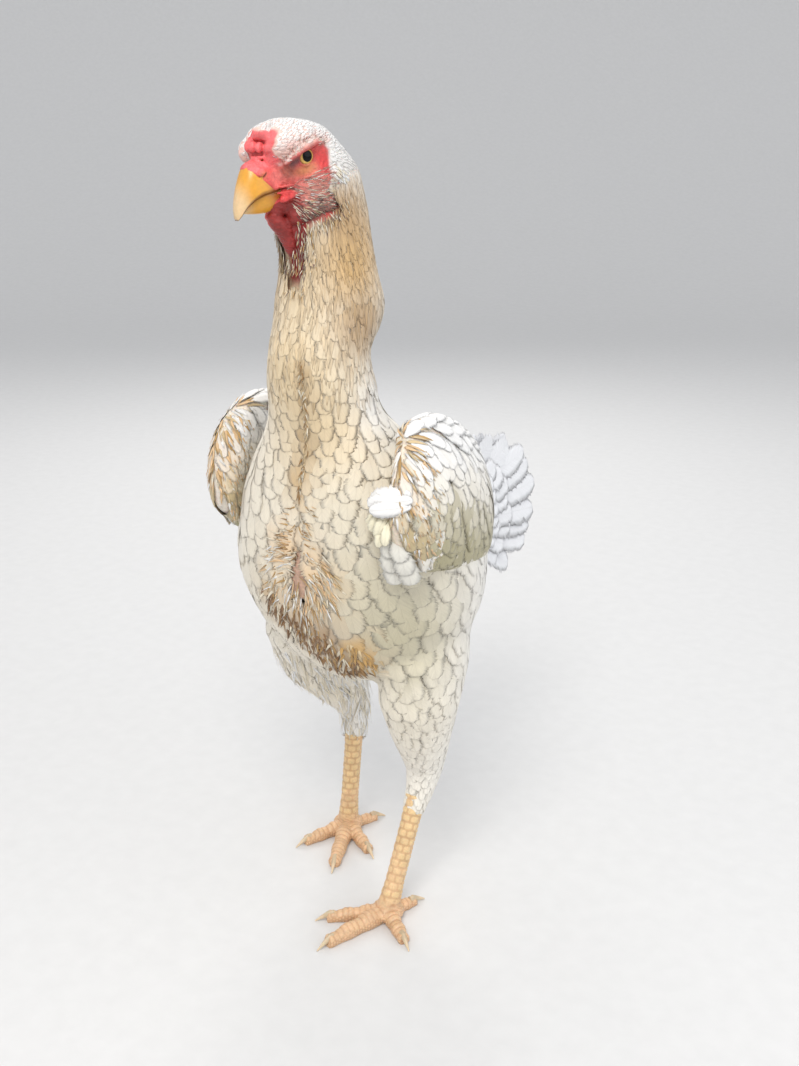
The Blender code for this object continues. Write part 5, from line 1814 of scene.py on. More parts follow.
def throat_share(points):
    """How much points belong to the bare red throat."""
    places = on_head(points)
    wide = ramp(0.014, 0.009, places[:, 1]) * ramp(-0.0085, -0.0045, places[:, 1])
    share = wide * ramp(0.006, 0.014, places[:, 0])
    return share * ramp(-0.018, -0.026, places[:, 2]) * ramp(0.500, 0.508, points[:, 2])


# How much lengths and half widths vary from feather to feather
LENGTH_RANGE = (0.86, 1.14)
WIDTH_RANGE = (0.88, 1.12)
# How deep roots lie, as a share of the coat's depth
ROOT_DEPTH = 0.13


def tract(surface, allowed, seed, shape, bands, density=1.0, size=1.0, tint=coat_colour,
          unwrap=unwrapped, thin=1.0, lift=0.00016, **form):
    """Feathers over the allowed part of a surface, sized by where they grow."""
    rng = np.random.default_rng(seed)
    roots = surface.scatter(lambda points: plumage(points)[1][:, 0] / density, allowed, seed)
    _, sizes = plumage(roots)
    length = sizes[:, 1] * size * rng.uniform(*LENGTH_RANGE, len(roots))
    half_width = sizes[:, 2] * thin * rng.uniform(*WIDTH_RANGE, len(roots))
    ground, normals = lay(surface, roots, flow, length, half_width, rng)
    base = tint(roots)
    tip = tint(ground[:, 4, 1])
    batch = feathers(ground, normals, length, half_width, shape, bands, rng,
                     sizes[:, 3] * ROOT_DEPTH, base * 0.92, tip, lift=lift, **form)
    batch["home"] = unwrap(roots)
    return batch


def sprinkle(surface, way, region, seed, spacing, length, half_width, colours, shape="pointed",
             bands=3, sway=0.3, lift=0.001, depth=0.0008, vary=0.08, thick=0.00012):
    """Small feathers or hairs over a region, in a mix of colours."""
    rng = np.random.default_rng(seed)
    roots = surface.scatter(lambda points: np.full(len(points), spacing), region, seed)
    lengths = rng.uniform(length[0], length[1], len(roots))
    half_widths = half_width * rng.uniform(0.8, 1.25, len(roots))
    ground, normals = lay(surface, roots, way, lengths, half_widths, rng, sway)
    base = np.array(colours)[rng.integers(len(colours), size=len(roots))]
    batch = feathers(ground, normals, lengths, half_widths, shape, bands, rng,
                     np.full(len(roots), depth), base * 0.85, base, vary=vary, thick=thick,
                     lift=lift * rng.uniform(0.3, 1.6, len(roots)))
    batch["home"] = unwrapped(roots)
    return batch


def close_to(spots):
    """A function of how near points are to the nearest of some spots, from 0 to 1."""
    def nearness(points):
        best = np.zeros(len(points))
        for place, reach in spots:
            gap = np.linalg.norm(points - np.array(place), axis=1) / reach
            best = np.maximum(best, ramp(1.0, 0.6, gap))
        return best
    return nearness


# Spots on the breast: place, reach. First the thin strip of skin, then the bare skin's left edge,
# the matted feathers under it and the ochre ones beside them
STRIP_SPOTS = (
    ((-0.004, -0.0800, 0.324), 0.012),
    ((0.003, -0.081, 0.339), 0.008),
    ((0.0055, -0.0805, 0.351), 0.007),
)
EDGE_SPOTS = (((0.020, -0.0770, 0.300), 0.013), ((0.010, -0.0760, 0.281), 0.009))
DIRTY_SPOTS = (
    ((-0.030, -0.0710, 0.271), 0.014),
    ((-0.014, -0.0700, 0.258), 0.016),
    ((0.003, -0.0660, 0.246), 0.018),
    ((0.020, -0.0560, 0.230), 0.018),
)
OCHRE_SPOTS = (((0.041, -0.0550, 0.236), 0.012), ((0.034, -0.0620, 0.247), 0.008))


# How far a first layer lies under the coat's surface, to close the gaps between its feathers
UNDER_COAT = -0.0006
# Height where the neck starts, place along the bird where the back does, and height of the thighs
NECK_HEIGHT = 0.392
BACK_START = 0.006
LEG_HEIGHT = 0.225


def body_coat(hull):
    """Breast, back, neck and thighs."""
    def covered(points):
        return 1 - 0.95 * bare(points)

    def on_leg(points):
        return (points[:, 2] < LEG_HEIGHT) & (leg_reach(points) < 1.25)

    def breast(points):
        here = (points[:, 2] < NECK_HEIGHT) & ~on_leg(points) & (points[:, 1] < BACK_START)
        return here * covered(points) * covered(points + 0.020 * flow(points))

    def back(points):
        return (points[:, 2] < NECK_HEIGHT) & ~on_leg(points) & (points[:, 1] >= BACK_START)

    def neck(points):
        up = on_head(points)[:, 2]
        clear = ramp(-0.0005, 0.0010, face_gap(points)) * (1 - throat_share(points))
        return clear * (points[:, 2] >= NECK_HEIGHT) * ((up < -0.014) | (points[:, 2] < 0.55))

    def hackles(points):
        turn = np.abs(points[:, 0]) - 0.6 * (points[:, 1] + 0.06)
        low = 0.470 - 0.022 * ramp(0.0, 0.03, turn)
        return neck(points) * ramp(low - 0.006, low + 0.010, points[:, 2])

    def thighs(points):
        return on_leg(points) & (points[:, 2] > np.where(points[:, 0] > 0, 0.080, 0.094))

    def hackle_colour(points):
        return blend(coat_colour(points), TAN, 0.18 * (1 - ramp(-0.02, 0.0, points[:, 1]))[:, None])

    coat_piece("coat_breast", [tract(hull, breast, 11, "round", 26, 0.90, fray=0.07)])
    coat_piece("coat_back", [tract(hull, back, 12, "round", 24, 0.88, fray=0.07)])
    coat_piece("coat_neck", [tract(hull, neck, 13, "round", 13, 1.0, fray=0.08)])
    coat_piece("coat_down", [
        tract(hull, breast, 21, "round", 4, 1.25, above=UNDER_COAT),
        tract(hull, back, 22, "round", 4, 1.15, above=UNDER_COAT),
        tract(hull, neck, 23, "round", 4, 1.1, above=UNDER_COAT),
    ])
    coat_piece("coat_hackles", [
        tract(hull, hackles, 15, "pointed", 6, 1.75, 1.20, hackle_colour, thin=0.42, lift=0.0003,
              vary=0.08),
    ])
    coat_piece("coat_thighs", [
        tract(hull, thighs, 14, "round", 12, 1.0, unwrap=leg_unwrapped, fray=0.12),
        tract(hull, thighs, 24, "round", 4, 1.25, unwrap=leg_unwrapped, above=UNDER_COAT),
    ])


# The groove down the front of the neck: height, place across
GROOVE_LINE = (
    (0.360, 0.0045),
    (0.372, 0.0043),
    (0.387, 0.0074),
    (0.401, 0.0099),
    (0.424, 0.0116),
    (0.446, 0.0110),
    (0.462, 0.0100),
)
# The way that the listed feathers face, and how far out they bow
PATCH_BOW = 0.0050
PATCH_OUT = unit(np.array((0.45, -0.88, 0.15)))
# Broad feathers between the left wing and the breast: root, tip, half width
PATCH_FEATHERS = (
    ((0.0950, -0.0710, 0.3680), (0.0650, -0.0780, 0.3620), 0.0070),
    ((0.0960, -0.0705, 0.3725), (0.0620, -0.0760, 0.3660), 0.0080),
    ((0.0940, -0.0700, 0.3765), (0.0640, -0.0745, 0.3705), 0.0070),
)
# The flank feathers' colour: white with some painted shade
FLANK_TINT = blend(WHITE, SHADE, 0.35)
# Feathers of the breast that cover the lower front corner of the left wing
FLANK_FEATHERS = (
    ((0.0860, -0.0650, 0.3300), (0.0900, -0.0640, 0.3080), 0.0085),
    ((0.0740, -0.0660, 0.3290), (0.0780, -0.0650, 0.3060), 0.0085),
    ((0.0840, -0.0680, 0.3380), (0.0880, -0.0680, 0.3160), 0.0085),
    ((0.0740, -0.0690, 0.3390), (0.0770, -0.0690, 0.3160), 0.0085),
    ((0.0820, -0.0690, 0.3480), (0.0860, -0.0715, 0.3260), 0.0080),
    ((0.0750, -0.0700, 0.3500), (0.0780, -0.0725, 0.3280), 0.0080),
)
# Pale yellow feathers under the broad ones
LEMON_FEATHERS = (
    ((0.0760, -0.0750, 0.3600), (0.0700, -0.0775, 0.3430), 0.0050),
    ((0.0720, -0.0740, 0.3600), (0.0640, -0.0760, 0.3460), 0.0046),
    ((0.0700, -0.0720, 0.3620), (0.0600, -0.0740, 0.3500), 0.0040),
    ((0.0740, -0.0750, 0.3520), (0.0710, -0.0770, 0.3360), 0.0040),
    ((0.0780, -0.0750, 0.3560), (0.0770, -0.0770, 0.3380), 0.0040),
)


def planted(rows, tint, seed, out=0.0):
    """Single feathers from a root to a tip, bowed a little outward."""
    rng = np.random.default_rng(seed)
    share = np.array(LENGTHWISE)[:, None]
    grounds = []
    for root, tip, half_width in rows:
        line = blend(np.array(root), np.array(tip), share)
        line = line + PATCH_OUT * (out + PATCH_BOW * np.sin(math.pi * share * 0.8))
        beside = unit(np.cross(np.array(tip) - root, PATCH_OUT)) * half_width
        drop = PATCH_OUT * half_width * 0.22
        grounds.append(np.stack([line - beside - drop, line, line + beside - drop], 1))
    grounds = np.array(grounds)
    stands = np.broadcast_to(PATCH_OUT, grounds.shape)
    length = np.linalg.norm(grounds[:, 4, 1] - grounds[:, 0, 1], axis=1)
    half_width = np.array([row[2] for row in rows])
    tints = np.broadcast_to(tint, (len(rows), 3))
    batch = feathers(grounds, stands, length, half_width, "round", 24, rng, np.zeros(len(rows)),
                     tints * 0.94, tints, fray=0.08)
    batch["home"] = unwrapped(grounds[:, 0, 1])
    return batch


# Middle of the bare breast
BREAST_MIDDLE = np.array((-0.002, -0.078, 0.296))


def loose_coat(hull):
    """Pin feathers round the bare breast, matted ones under it and wisps on the right leg."""
    def outward(points):
        return unit(unit(points - BREAST_MIDDLE) * (1, 0.2, 1) + (-0.1, 0.0, -1.0))

    def round_bare(points):
        gap = np.linalg.norm(points - BREAST_MIDDLE, axis=1)
        ring = ramp(0.001, 0.012, gap) * ramp(0.034, 0.024, gap)
        return ring * (points[:, 1] < -0.05) * (0.25 + 0.75 * (points[:, 0] < 0.010))

    def groove(points):
        line = along(GROOVE_LINE, points[:, 2])[:, 0]
        beside = ramp(0.0052, 0.0020, np.abs(points[:, 0] - line)) * (points[:, 1] < -0.06)
        return beside * ramp(0.362, 0.372, points[:, 2]) * ramp(0.462, 0.450, points[:, 2])

    def to_groove(points):
        line = along(GROOVE_LINE, points[:, 2])[:, 0]
        side = np.clip((line - points[:, 0]) / 0.003, -1, 1)
        return unit(np.stack([side * 0.8, 0 * side, -np.ones(len(points))], -1))

    def right_leg(points):
        low = (points[:, 0] < -0.03) & (leg_reach(points) < 1.25)
        return low & (points[:, 2] < 0.215) & (points[:, 2] > 0.100)

    coat_piece("coat_loose", [
        sprinkle(hull, outward, round_bare, 51, 0.0034, (0.009, 0.018), 0.0009,
                 (CREAM, WHITE, PIN, CREAM, TAN), sway=0.55, lift=0.0018),
        sprinkle(hull, outward, close_to(STRIP_SPOTS), 52, 0.0024, (0.007, 0.013), 0.0008,
                 (TAN, PIN, HACKLE, CREAM), sway=0.35, lift=0.0015),
        sprinkle(hull, outward, close_to(EDGE_SPOTS), 56, 0.0026, (0.007, 0.013), 0.0013,
                 (PIN, CREAM, PIN, SAND), sway=0.55, lift=0.0026),
        sprinkle(hull, to_groove, groove, 57, 0.0024, (0.007, 0.012), 0.0009,
                 (GROOVE, SAND, CREAM, HACKLE), sway=0.25, lift=0.0016),
        planted(PATCH_FEATHERS, WHITE, 58, 0.0020),
        planted(FLANK_FEATHERS, FLANK_TINT, 50, -0.0010),
        planted(LEMON_FEATHERS, LEMON, 59),
        sprinkle(hull, flow, close_to(DIRTY_SPOTS), 53, 0.0027, (0.009, 0.018), 0.0015,
                 (DIRT, HACKLE, TAN, CREAM, DIRT), sway=0.75, lift=0.0022),
        sprinkle(hull, flow, close_to(OCHRE_SPOTS), 54, 0.0030, (0.010, 0.016), 0.0018,
                 (OCHRE, OCHRE, SAND), sway=0.45, lift=0.0020),
        sprinkle(hull, flow, right_leg, 55, 0.0052, (0.018, 0.032), 0.0011,
                 (WHITE, CREAM), sway=0.30, lift=0.0028, bands=5),
    ])


WING_FRONT_FLOW = (0.0, 0.45, -0.90)
WING_REAR_FLOW = (-0.20, 0.90, -0.55)
WING_TOP_FLOW = (0.0, 1.0, 0.06)
# How much one edge of a long feather lies over the next feather's
VANE_TILT = 0.0004
# Coverts: spacing, length and half width at the wing's front, and how much each grows to the rear
COVERT_SPACING = (0.0046, 0.0030)
COVERT_LENGTH = (0.017, 0.018)
COVERT_WIDTH = (0.0042, 0.0050)
# How far the coverts' ground lies in from the wing's outline, and how finely it is drawn
COVERT_INSET = 0.0005
COVERT_VOXEL = 0.0022
# Length of the folded wing, to turn shares of it into metres
WING_LENGTH = 0.20
# How far the tips of the long feathers stray, how deep their roots lie and over what length
TIP_STRAY = 0.025
ROOT_SUNK = 0.0016
ROOT_RUN = 0.014
# Long feathers of each wing in layers from the lowest. Places are shares of the wing's length and
# of its half height: count, root of the first and last, tip of the first and last, half width, lift
WING_LAYERS = (
    (9, (0.60, -0.35), (0.58, 0.72), (0.88, -0.85), (1.03, 0.30), 0.0095, 0.0000),
    (11, (0.10, 0.10), (0.60, 0.30), (0.20, -1.02), (0.90, -0.35), 0.0120, 0.0003),
    (7, (0.50, 0.45), (0.50, 0.80), (0.86, -0.20), (0.88, 0.80), 0.0090, 0.0012),
)


def wing_places(side, points):
    """Share of the length and rise of points of a wing."""
    share, _, height, half = along(WING_TABLE, points[:, 1]).T
    return np.stack([share, (points[:, 2] - height) / np.maximum(half, 0.01)], -1)


def make_wing(side):
    """Coverts over the wing's front, and three tiers of long feathers behind them."""
    word = SIDE_WORDS[side]
    hull = Surface(remeshed(*wing_core(side, COVERT_INSET), COVERT_VOXEL, 4))
    rng = np.random.default_rng(30 + side)

    def wing_flow(points):
        share = ramp(-0.07, 0.10, points[:, 1])[:, None]
        rear = np.array(WING_REAR_FLOW) * (side, 1, 1)
        way = blend(np.array(WING_FRONT_FLOW), rear, share)
        top = ramp(0.70, 0.98, wing_places(side, points)[:, 1])[:, None]
        return unit(blend(way, np.array(WING_TOP_FLOW), top))

    def coverts(points):
        place = wing_places(side, points)
        low = ramp(-0.86, -0.66, place[:, 1])
        return (place[:, 0] < 0.70) * (1 - is_outer(points) * (1 - low))

    def is_outer(points):
        middle = along(WING_TABLE, points[:, 1])[:, 1]
        return (np.abs(points[:, 0] - (side < 0) * WING_TUCK) > middle - 0.002) * 1.0

    def front(points):
        place = wing_places(side, points)
        return ramp(0.17, 0.08, place[:, 0]) * (np.abs(place[:, 1]) < 1.0)

    def wing_map(points):
        place = wing_places(side, points)
        place[:, 1] += is_outer(points) * 2.6
        return fitted(place)

    def grown(points):
        place = wing_places(side, points)
        return ramp(-0.4, 1.4, 1 - place[:, 1]) * 0.6 + ramp(0.0, 0.4, place[:, 0]) * 0.4

    def spacing(points):
        return COVERT_SPACING[0] + COVERT_SPACING[1] * grown(points)

    roots = hull.scatter(spacing, coverts, 40 + side)
    grow = grown(roots)
    length = (COVERT_LENGTH[0] + COVERT_LENGTH[1] * grow) * rng.uniform(*LENGTH_RANGE, len(roots))
    half_width = (COVERT_WIDTH[0] + COVERT_WIDTH[1] * grow) * rng.uniform(*WIDTH_RANGE, len(roots))
    ground, normals = lay(hull, roots, wing_flow, length, half_width, rng, 0.09)
    base = wing_colour(side, roots)
    top = ramp(0.75, 1.0, wing_places(side, roots)[:, 1])
    small = feathers(ground, normals, length, half_width, "round", 18, rng,
                     np.full(len(roots), 0.0007), base * 0.94, base, lift=0.0006 + 0.0016 * top,
                     fray=0.08, above=0.0004)
    small["home"] = wing_map(roots)
    pins = sprinkle(hull, wing_flow, front, 60 + side, 0.0023, (0.009, 0.018), 0.0014,
                    (PIN, PIN, CREAM, SAND, WHITE, TAN), sway=0.28, lift=0.0014, depth=0.0002)
    rows = []
    homes = []
    for count, root, last_root, tip, last_tip, wide, lift in WING_LAYERS:
        for share in np.linspace(0, 1, count):
            start = blend(np.array(root), np.array(last_root), share)
            end = blend(np.array(tip), np.array(last_tip), share) + rng.normal(0, TIP_STRAY, 2)
            rows.append(wing_lines(side, start, end, wide, lift))
            homes.append(start)
    root, tip = (wing_colour(side, np.array([row[0][k, 1] for row in rows])) for k in (1, 4))
    flights = long_feathers(rows, 2, 36, rng, root * 0.95, tip, fray=0.07, twist=0.05)
    flights["home"] = fitted(np.array(homes))
    coat_piece("coat_wing_" + word, [small, pins])
    coat_piece("flights_" + word, [flights], ("wing_" + word,))


def wing_lines(side, root, tip, half_width, lift):
    """Ground of a long feather on the wing's outer face, bowed from its root back to its tip."""
    share = np.array(LENGTHWISE)
    station = root[0] + (tip[0] - root[0]) * (share * 0.8 + share**2 * 0.2)
    height = root[1] + (tip[1] - root[1]) * share
    half = np.maximum(along(WING_STATIONS, station)[:, 3], 0.010)
    size = np.linalg.norm((np.array(tip) - root) * (WING_LENGTH, half.mean()))
    beside = np.array([(root[1] - tip[1]) * half.mean(), (tip[0] - root[0]) * WING_LENGTH])
    beside = beside / size
    across = np.tile(CROSSWISE, 5)
    stations = np.repeat(station, 3) + across * beside[0] * half_width / WING_LENGTH
    rises = np.repeat(height * half, 3) + across * beside[1] * half_width
    rises = np.clip(rises, -1.06 * np.repeat(half, 3), 1.02 * np.repeat(half, 3))
    walked = np.repeat(share * size, 3)
    above = lift + (-ROOT_SUNK - lift) * np.maximum(0.0, 1 - walked / ROOT_RUN)
    out = wing_skin(stations, rises) + above - VANE_TILT * across
    points = wing_point(side, stations, rises, out)
    further = wing_point(side, stations, rises, out + 0.001)
    points = points.reshape(5, 3, 3)
    stands = unit(further.reshape(5, 3, 3) - points)
    if side > 0:
        return points[:, ::-1], stands[:, ::-1]
    return points, stands


def wing_colour(side, points):
    place = wing_places(side, points)
    low = ramp(0.5, -0.5, place[:, 1]) * ramp(-1.05, -0.75, place[:, 1])
    # Painted shade: creamier lower down the wing and then olive SHADE there
    tint = blend(WHITE, CREAM, (0.45 + 0.5 * low * ramp(0.75, 0.35, place[:, 0]))[:, None])
    # Whiter towards the top: partly the feathers' own white, partly painted light from above
    tint = blend(tint, WHITE, ramp(0.45, 0.80, place[:, 1])[:, None])
    tint = blend(tint, SHADE, (0.98 * low * ramp(0.9, 0.6, place[:, 0]))[:, None])
    return blend(tint, PIN, 0.30 * ramp(0.09, 0.04, place[:, 0])[:, None])


# The tail's two sides lean together like a tent: half width at its top, height of the top, slope
TENT_HALF = 0.0050
TENT_TOP = 0.335
TENT_SLOPE = 0.20
# Root of the uppermost tail feather (along the bird, height), step down to the next one's root,
# how far in the next one lies, and the tilt of each
TAIL_ROOT = (0.128, 0.308)
TAIL_ROOT_STEP = -0.0058
TAIL_STACK = 0.0009
TAIL_TILT = 0.0003
# Tips of the tail feathers from the uppermost down: along the bird, height, half width
TAIL_TIPS = (
    (0.1870, 0.3480, 0.0100),
    (0.2300, 0.3350, 0.0108),
    (0.2490, 0.3170, 0.0112),
    (0.2580, 0.2910, 0.0115),
    (0.2570, 0.2640, 0.0115),
    (0.2320, 0.2460, 0.0110),
    (0.1970, 0.2300, 0.0100),
)
# The one feather that stands up from the tail
UPRIGHT_TIP = (0.154, 0.359, 0.0065)
# Feathers in each tier, and how much broader they are than the table says
TAIL_LINES = 9
TAIL_BROADER = 1.30
# Tiers of feathers on each side of the tail: share of the full length, how far out they lie
TAIL_TIERS = ((1.0, 0.0), (0.64, 0.0024), (0.42, 0.0046))
TIP_WOBBLE = 0.0035


def tail_ground(side, line, tip, reach, lift):
    root = np.array([TAIL_ROOT[0], TAIL_ROOT[1] + TAIL_ROOT_STEP * line])
    run = np.array(tip[:2]) - root
    beside = unit(np.array([-run[1], run[0]]))
    share = np.repeat(LENGTHWISE, 3)
    across = np.tile(CROSSWISE, 5)
    wide = tip[2] * (0.45 + 0.55 * np.minimum(1.0, share * reach * 1.6))
    spot = root + run * (share * reach)[:, None] + beside * (across * wide)[:, None]
    tent = TENT_HALF + TENT_SLOPE * np.maximum(0.0, TENT_TOP - spot[:, 1])
    out = tent + lift - TAIL_STACK * line - TAIL_TILT * across
    points = np.stack([out * side, spot[:, 0], spot[:, 1]], -1).reshape(5, 3, 3)
    if side > 0:
        points = points[:, ::-1]
    stand = unit(np.array([side, 0.0, TENT_SLOPE]))
    return points, np.broadcast_to(stand, (5, 3, 3))


def make_tail():
    rng = np.random.default_rng(71)
    lines = np.linspace(0, len(TAIL_TIPS) - 1, TAIL_LINES)
    tips = along([(k,) + tip for k, tip in enumerate(TAIL_TIPS)], lines)
    rows = []
    homes = []
    for side in (1, -1):
        for line, tip in zip(lines, tips):
            for reach, lift in TAIL_TIERS:
                turned = tip + rng.normal(0, TIP_WOBBLE, 3) * (1, 1, 0)
                turned[2] *= TAIL_BROADER
                rows.append(tail_ground(side, line, turned, reach * rng.uniform(0.95, 1.02), lift))
                homes.append((side * (1 + reach), line))
    rows.append(tail_ground(1, -1.5, np.array(UPRIGHT_TIP), 1.0, 0.0))
    homes.append((0, 0))
    base = np.broadcast_to(TAIL_WHITE, (len(rows), 3))
    batch = long_feathers(rows, 3, 30, rng, base * 0.92, base, fray=0.08, twist=0.15)
    batch["home"] = fitted(np.array(homes, float))
    coat_piece("coat_tail", [batch], ("tail",))


CROWN_SPACING = 0.00150
# Least and most length and half width of the crown's feathers
CROWN_LENGTH = (0.0048, 0.0076)
CROWN_WIDTH = (0.0011, 0.0016)
# Where the skin shows pink between the crown's feathers: forward, up, reach
CROWN_PINK = (
    (0.0180, 0.0080, 0.0050),
    (0.0130, 0.0095, 0.0055),
    (0.0040, 0.0085, 0.0045),
    (-0.0060, 0.0085, 0.0040),
    (-0.0140, 0.0030, 0.0035),
)


def head_coat(head, hull):
    """Tiny feathers of the crown and nape."""
    rng = np.random.default_rng(91)

    def crown(points):
        places = on_head(points)
        near, normals = hull.snap(points)
        proud = ((points - near) * normals).sum(1) > -0.0014
        clear = ramp(-0.0002, 0.0012, face_gap(points)) * (comb_share(places) < 0.3)
        proud = proud | (places[:, 2] > 0.0)
        return clear * proud * (places[:, 2] > -0.020) * (1 - throat_share(points))

    def head_flow(points):
        places = on_head(points)
        back, up = -HEAD_AXES[0], HEAD_AXES[2]
        lower = ramp(0.006, -0.020, places[:, 2])[:, None]
        return unit(back * (1 - 0.55 * lower) - up * lower + 0 * points)

    roots = head.scatter(lambda points: np.full(len(points), CROWN_SPACING), crown, 92)
    length = rng.uniform(*CROWN_LENGTH, len(roots))
    half_width = rng.uniform(*CROWN_WIDTH, len(roots))
    ground, normals = lay(head, roots, head_flow, length, half_width, rng, 0.14)
    base = coat_colour(roots)
    for f, h, reach in CROWN_PINK:
        forward, _, up = on_head(roots).T
        gap = np.hypot(forward - f, up - h) / reach
        base = blend(base, CROWN_TINT, (0.8 * np.exp(-gap**2))[:, None])
    inner = np.minimum(face_gap(roots), 0.3 - comb_share(on_head(roots)))
    depth = 0.00005 + 0.00030 * ramp(0.001, 0.005, inner)
    batch = feathers(ground, normals, length, half_width, "pointed", 4, rng, depth, base * 0.94,
                     base, lift=0.0003, thick=0.00010)
    batch["home"] = unwrapped(roots)
    coat_piece("coat_crown", [batch])


def face_hair(head, hull):
    """Hair-like feathers of the bare face, bristles of the cheek and the tuft over the ear."""
    def from_mouth(points):
        places = on_head(points)
        forward, _, up = places.T
        back = np.stack([forward - 0.034, 0 * up, (up + 0.014) * 0.8 - 0.006], -1)
        return unit(back) @ HEAD_AXES

    def from_eye(points):
        forward, _, up = on_head(points).T
        away_eye = np.stack([forward - 0.010, 0 * up, up + 0.004], -1)
        return unit(away_eye) @ HEAD_AXES

    def down_back(points):
        return np.broadcast_to(unit(np.array((-0.5, 0.0, -1.0))) @ HEAD_AXES, points.shape)

    def skin(points):
        return ramp(0.002, -0.001, face_gap(points)) * (1 - throat_share(points))

    def cheek(points):
        forward, _, up = on_head(points).T
        here = ramp(-0.0105, -0.0150, up) * ramp(0.020, 0.014, forward) * ramp(-0.034, -0.028, up)
        return skin(points) * here * 0.8

    def bristles(points):
        forward, _, up = on_head(points).T
        here = ramp(-0.024, -0.029, up) * ramp(0.020, 0.015, forward)
        return skin(points) * here

    def brow(points):
        forward, _, up = on_head(points).T
        round_eye = np.hypot(forward, up) > 0.0080
        return skin(points) * round_eye * ramp(0.0015, 0.0045, up) * ramp(0.018, 0.014, forward)

    def throat_side(points):
        places = on_head(points)
        gap = face_gap(points)
        edge = ramp(-0.0045, -0.0020, gap) * ramp(0.0050, 0.0025, gap)
        bare_throat = ramp(0.05, 0.2, throat_share(points)) * ramp(0.7, 0.4, throat_share(points))
        return np.maximum(edge, bare_throat) * (places[:, 2] < -0.034) * (points[:, 2] > 0.500) * 0.8

    def ear(points):
        forward, left, up = on_head(points).T
        gap = ((forward + 0.0172) / 0.0040) ** 2 + ((up + 0.0200) / 0.0075) ** 2
        return ramp(1.2, 0.7, gap) * (np.abs(left) > 0.012)

    hair = {"bands": 2, "depth": 0.0003, "thick": 0.00010}
    coat_piece("coat_face", [
        sprinkle(head, from_mouth, cheek, 81, 0.00140, (0.0050, 0.0090), 0.00042,
                 (WHITE, CREAM, BROW_PINK, CHEEK, CHEEK), sway=0.22, lift=0.0005, **hair),
        sprinkle(head, from_mouth, bristles, 82, 0.00120, (0.0040, 0.0075), 0.00042,
                 (CREAM, BRISTLE, SAND, BRISTLE, DARK_BRISTLE), sway=0.30, lift=0.0010, **hair),
        sprinkle(head, from_eye, brow, 83, 0.00095, (0.0035, 0.0065), 0.00040,
                 (WHITE, CREAM, BROW_PINK, BROW_PINK), sway=0.25, lift=0.0006, **hair),
        sprinkle(hull, flow, throat_side, 85, 0.0017, (0.0040, 0.0075), 0.00050,
                 (CREAM, SAND, BRISTLE, TAN), bands=3, sway=0.30, lift=0.0010, depth=0.0004),
        sprinkle(head, down_back, ear, 84, 0.0014, (0.0060, 0.0090), 0.00140,
                 (WHITE, WHITE, CREAM), bands=5, sway=0.20, lift=0.0010, depth=0.0001, vary=0.02),
    ])


# The bird

hull_mesh, skin_mesh = make_body()
hull_surface = Surface(hull_mesh)
head_mesh = make_head()
head_surface = Surface(head_mesh)
make_skin(skin_mesh, head_mesh)
body_coat(hull_surface)
head_coat(head_surface, hull_surface)
face_hair(head_surface, hull_surface)
loose_coat(hull_surface)
for bird_side in (1, -1):
    make_wing(bird_side)
    make_leg(bird_side)
    make_eye(bird_side)
make_tail()
make_beak("beak_upper", UPPER_BEAK, 1)
make_beak("beak_lower", LOWER_BEAK, -1)


# Floor, light and camera


SKY_COLOUR = (0.97, 0.98, 1.0, 1.0)
SKY_STRENGTH = 0.82
# Lights: name, place, where it shines, width, power, colour
LIGHTS = (
    ("key", (0.5, -1.1, 1.7), (0, 0, 0.32), 0.9, 19.0, (1.0, 0.97, 0.93)),
    ("fill", (1.6, 0.2, 0.9), (0, 0, 0.32), 1.6, 5.0, (0.92, 0.96, 1.0)),
    ("rim", (-1.0, 1.3, 1.5), (0, 0, 0.35), 1.0, 14.0, (1.0, 0.98, 0.95)),
)


def floor_look():
    looks = Looks("floor", roughness=0.9)
    grain = looks.noise(looks.places(), 60.0, 4.0)
    tint = looks.mix(gray(0.66), gray(0.72), grain)
    return looks.finish(tint, None, grain, 0.0003)


# A floor that curves up into a wall behind the bird
FLOOR_SIZE = 16.0
FLOOR_REACH = 3.0
SWEEP = 3.0
WALL_HEIGHT = 12.0


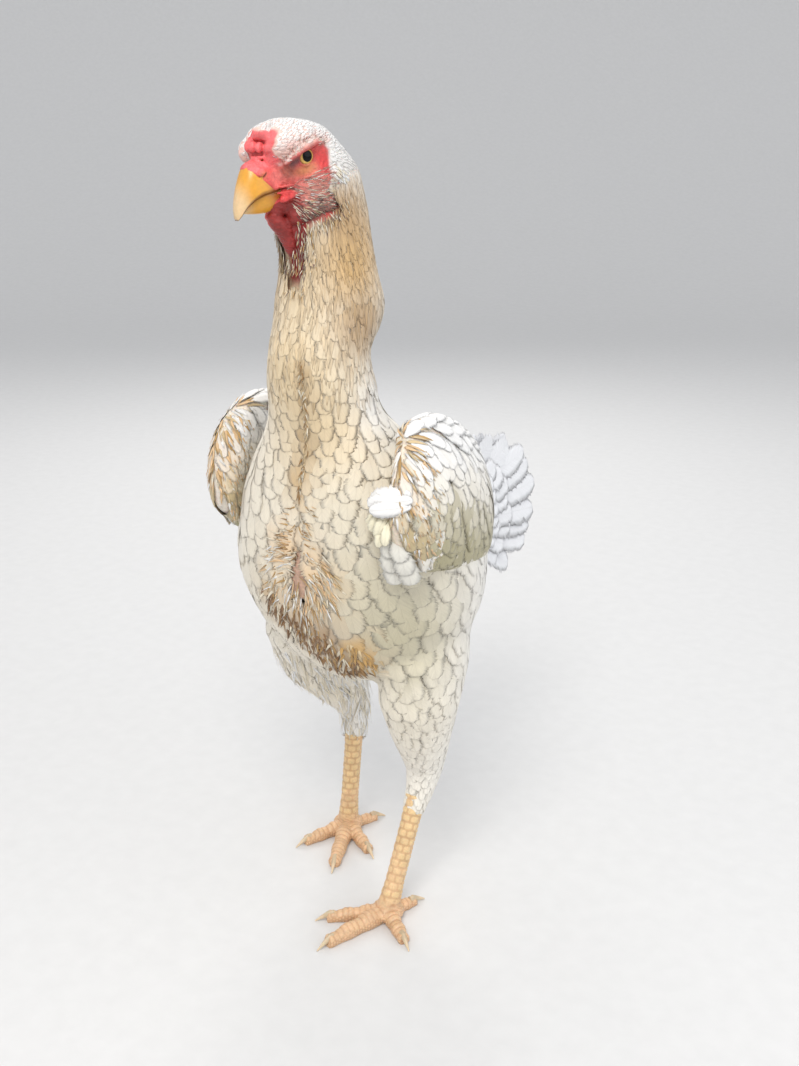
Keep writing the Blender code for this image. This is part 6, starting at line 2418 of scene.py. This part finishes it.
def make_floor():
    turn = np.linspace(0, math.pi / 2, 40)
    away_from = np.concatenate([[-FLOOR_SIZE], FLOOR_REACH + SWEEP * np.sin(turn)])
    height = np.concatenate([[0.0], SWEEP * (1 - np.cos(turn))])
    away_from = np.append(away_from, FLOOR_REACH + SWEEP)
    height = np.append(height, WALL_HEIGHT)
    way = np.array([-math.sin(CAMERA_AZIMUTH), math.cos(CAMERA_AZIMUTH), 0.0])
    across = np.array([way[1], -way[0], 0.0])
    middle = way * away_from[:, None] + height[:, None] * (0, 0, 1)
    points = np.stack([middle - across * FLOOR_SIZE, middle + across * FLOOR_SIZE], 1)
    first = np.arange(len(middle) - 1)[:, None] * 2
    mesh = new_mesh("floor", points.reshape(-1, 3), first + (0, 1, 3, 2))
    mesh.shade_smooth()
    mesh.materials.append(floor_look())
    floor = new_object("floor", mesh)


def make_light(name, place, goal, size, power, tint):
    data = bpy.data.lights.new(name, "AREA")
    data.shape = "DISK"
    data.size = size
    data.energy = power
    data.color = tint
    lamp = bpy.data.objects.new(name, data)
    lamp.location = place
    towards = Vector(goal) - Vector(place)
    lamp.rotation_euler = towards.to_track_quat("-Z", "Y").to_euler()
    bpy.context.scene.collection.objects.link(lamp)


def make_world():
    world = bpy.data.worlds.new("studio")
    world.use_nodes = True
    sky = world.node_tree.nodes["Background"]
    sky.inputs["Color"].default_value = SKY_COLOUR
    sky.inputs["Strength"].default_value = SKY_STRENGTH
    bpy.context.scene.world = world


def make_camera():
    data = bpy.data.cameras.new("camera")
    data.lens = LENS
    camera = bpy.data.objects.new("camera", data)
    camera.location = np.array(CAMERA_PLACE) + SHIFT
    pitch = math.cos(CAMERA_PITCH)
    way = Vector((-math.sin(CAMERA_AZIMUTH) * pitch, math.cos(CAMERA_AZIMUTH) * pitch,
                  -math.sin(CAMERA_PITCH)))
    camera.rotation_euler = way.to_track_quat("-Z", "Y").to_euler()
    bpy.context.scene.collection.objects.link(camera)
    bpy.context.scene.camera = camera


bpy.context.scene.view_settings.view_transform = "Standard"
make_floor()
make_world()
for light in LIGHTS:
    make_light(*light)
make_camera()
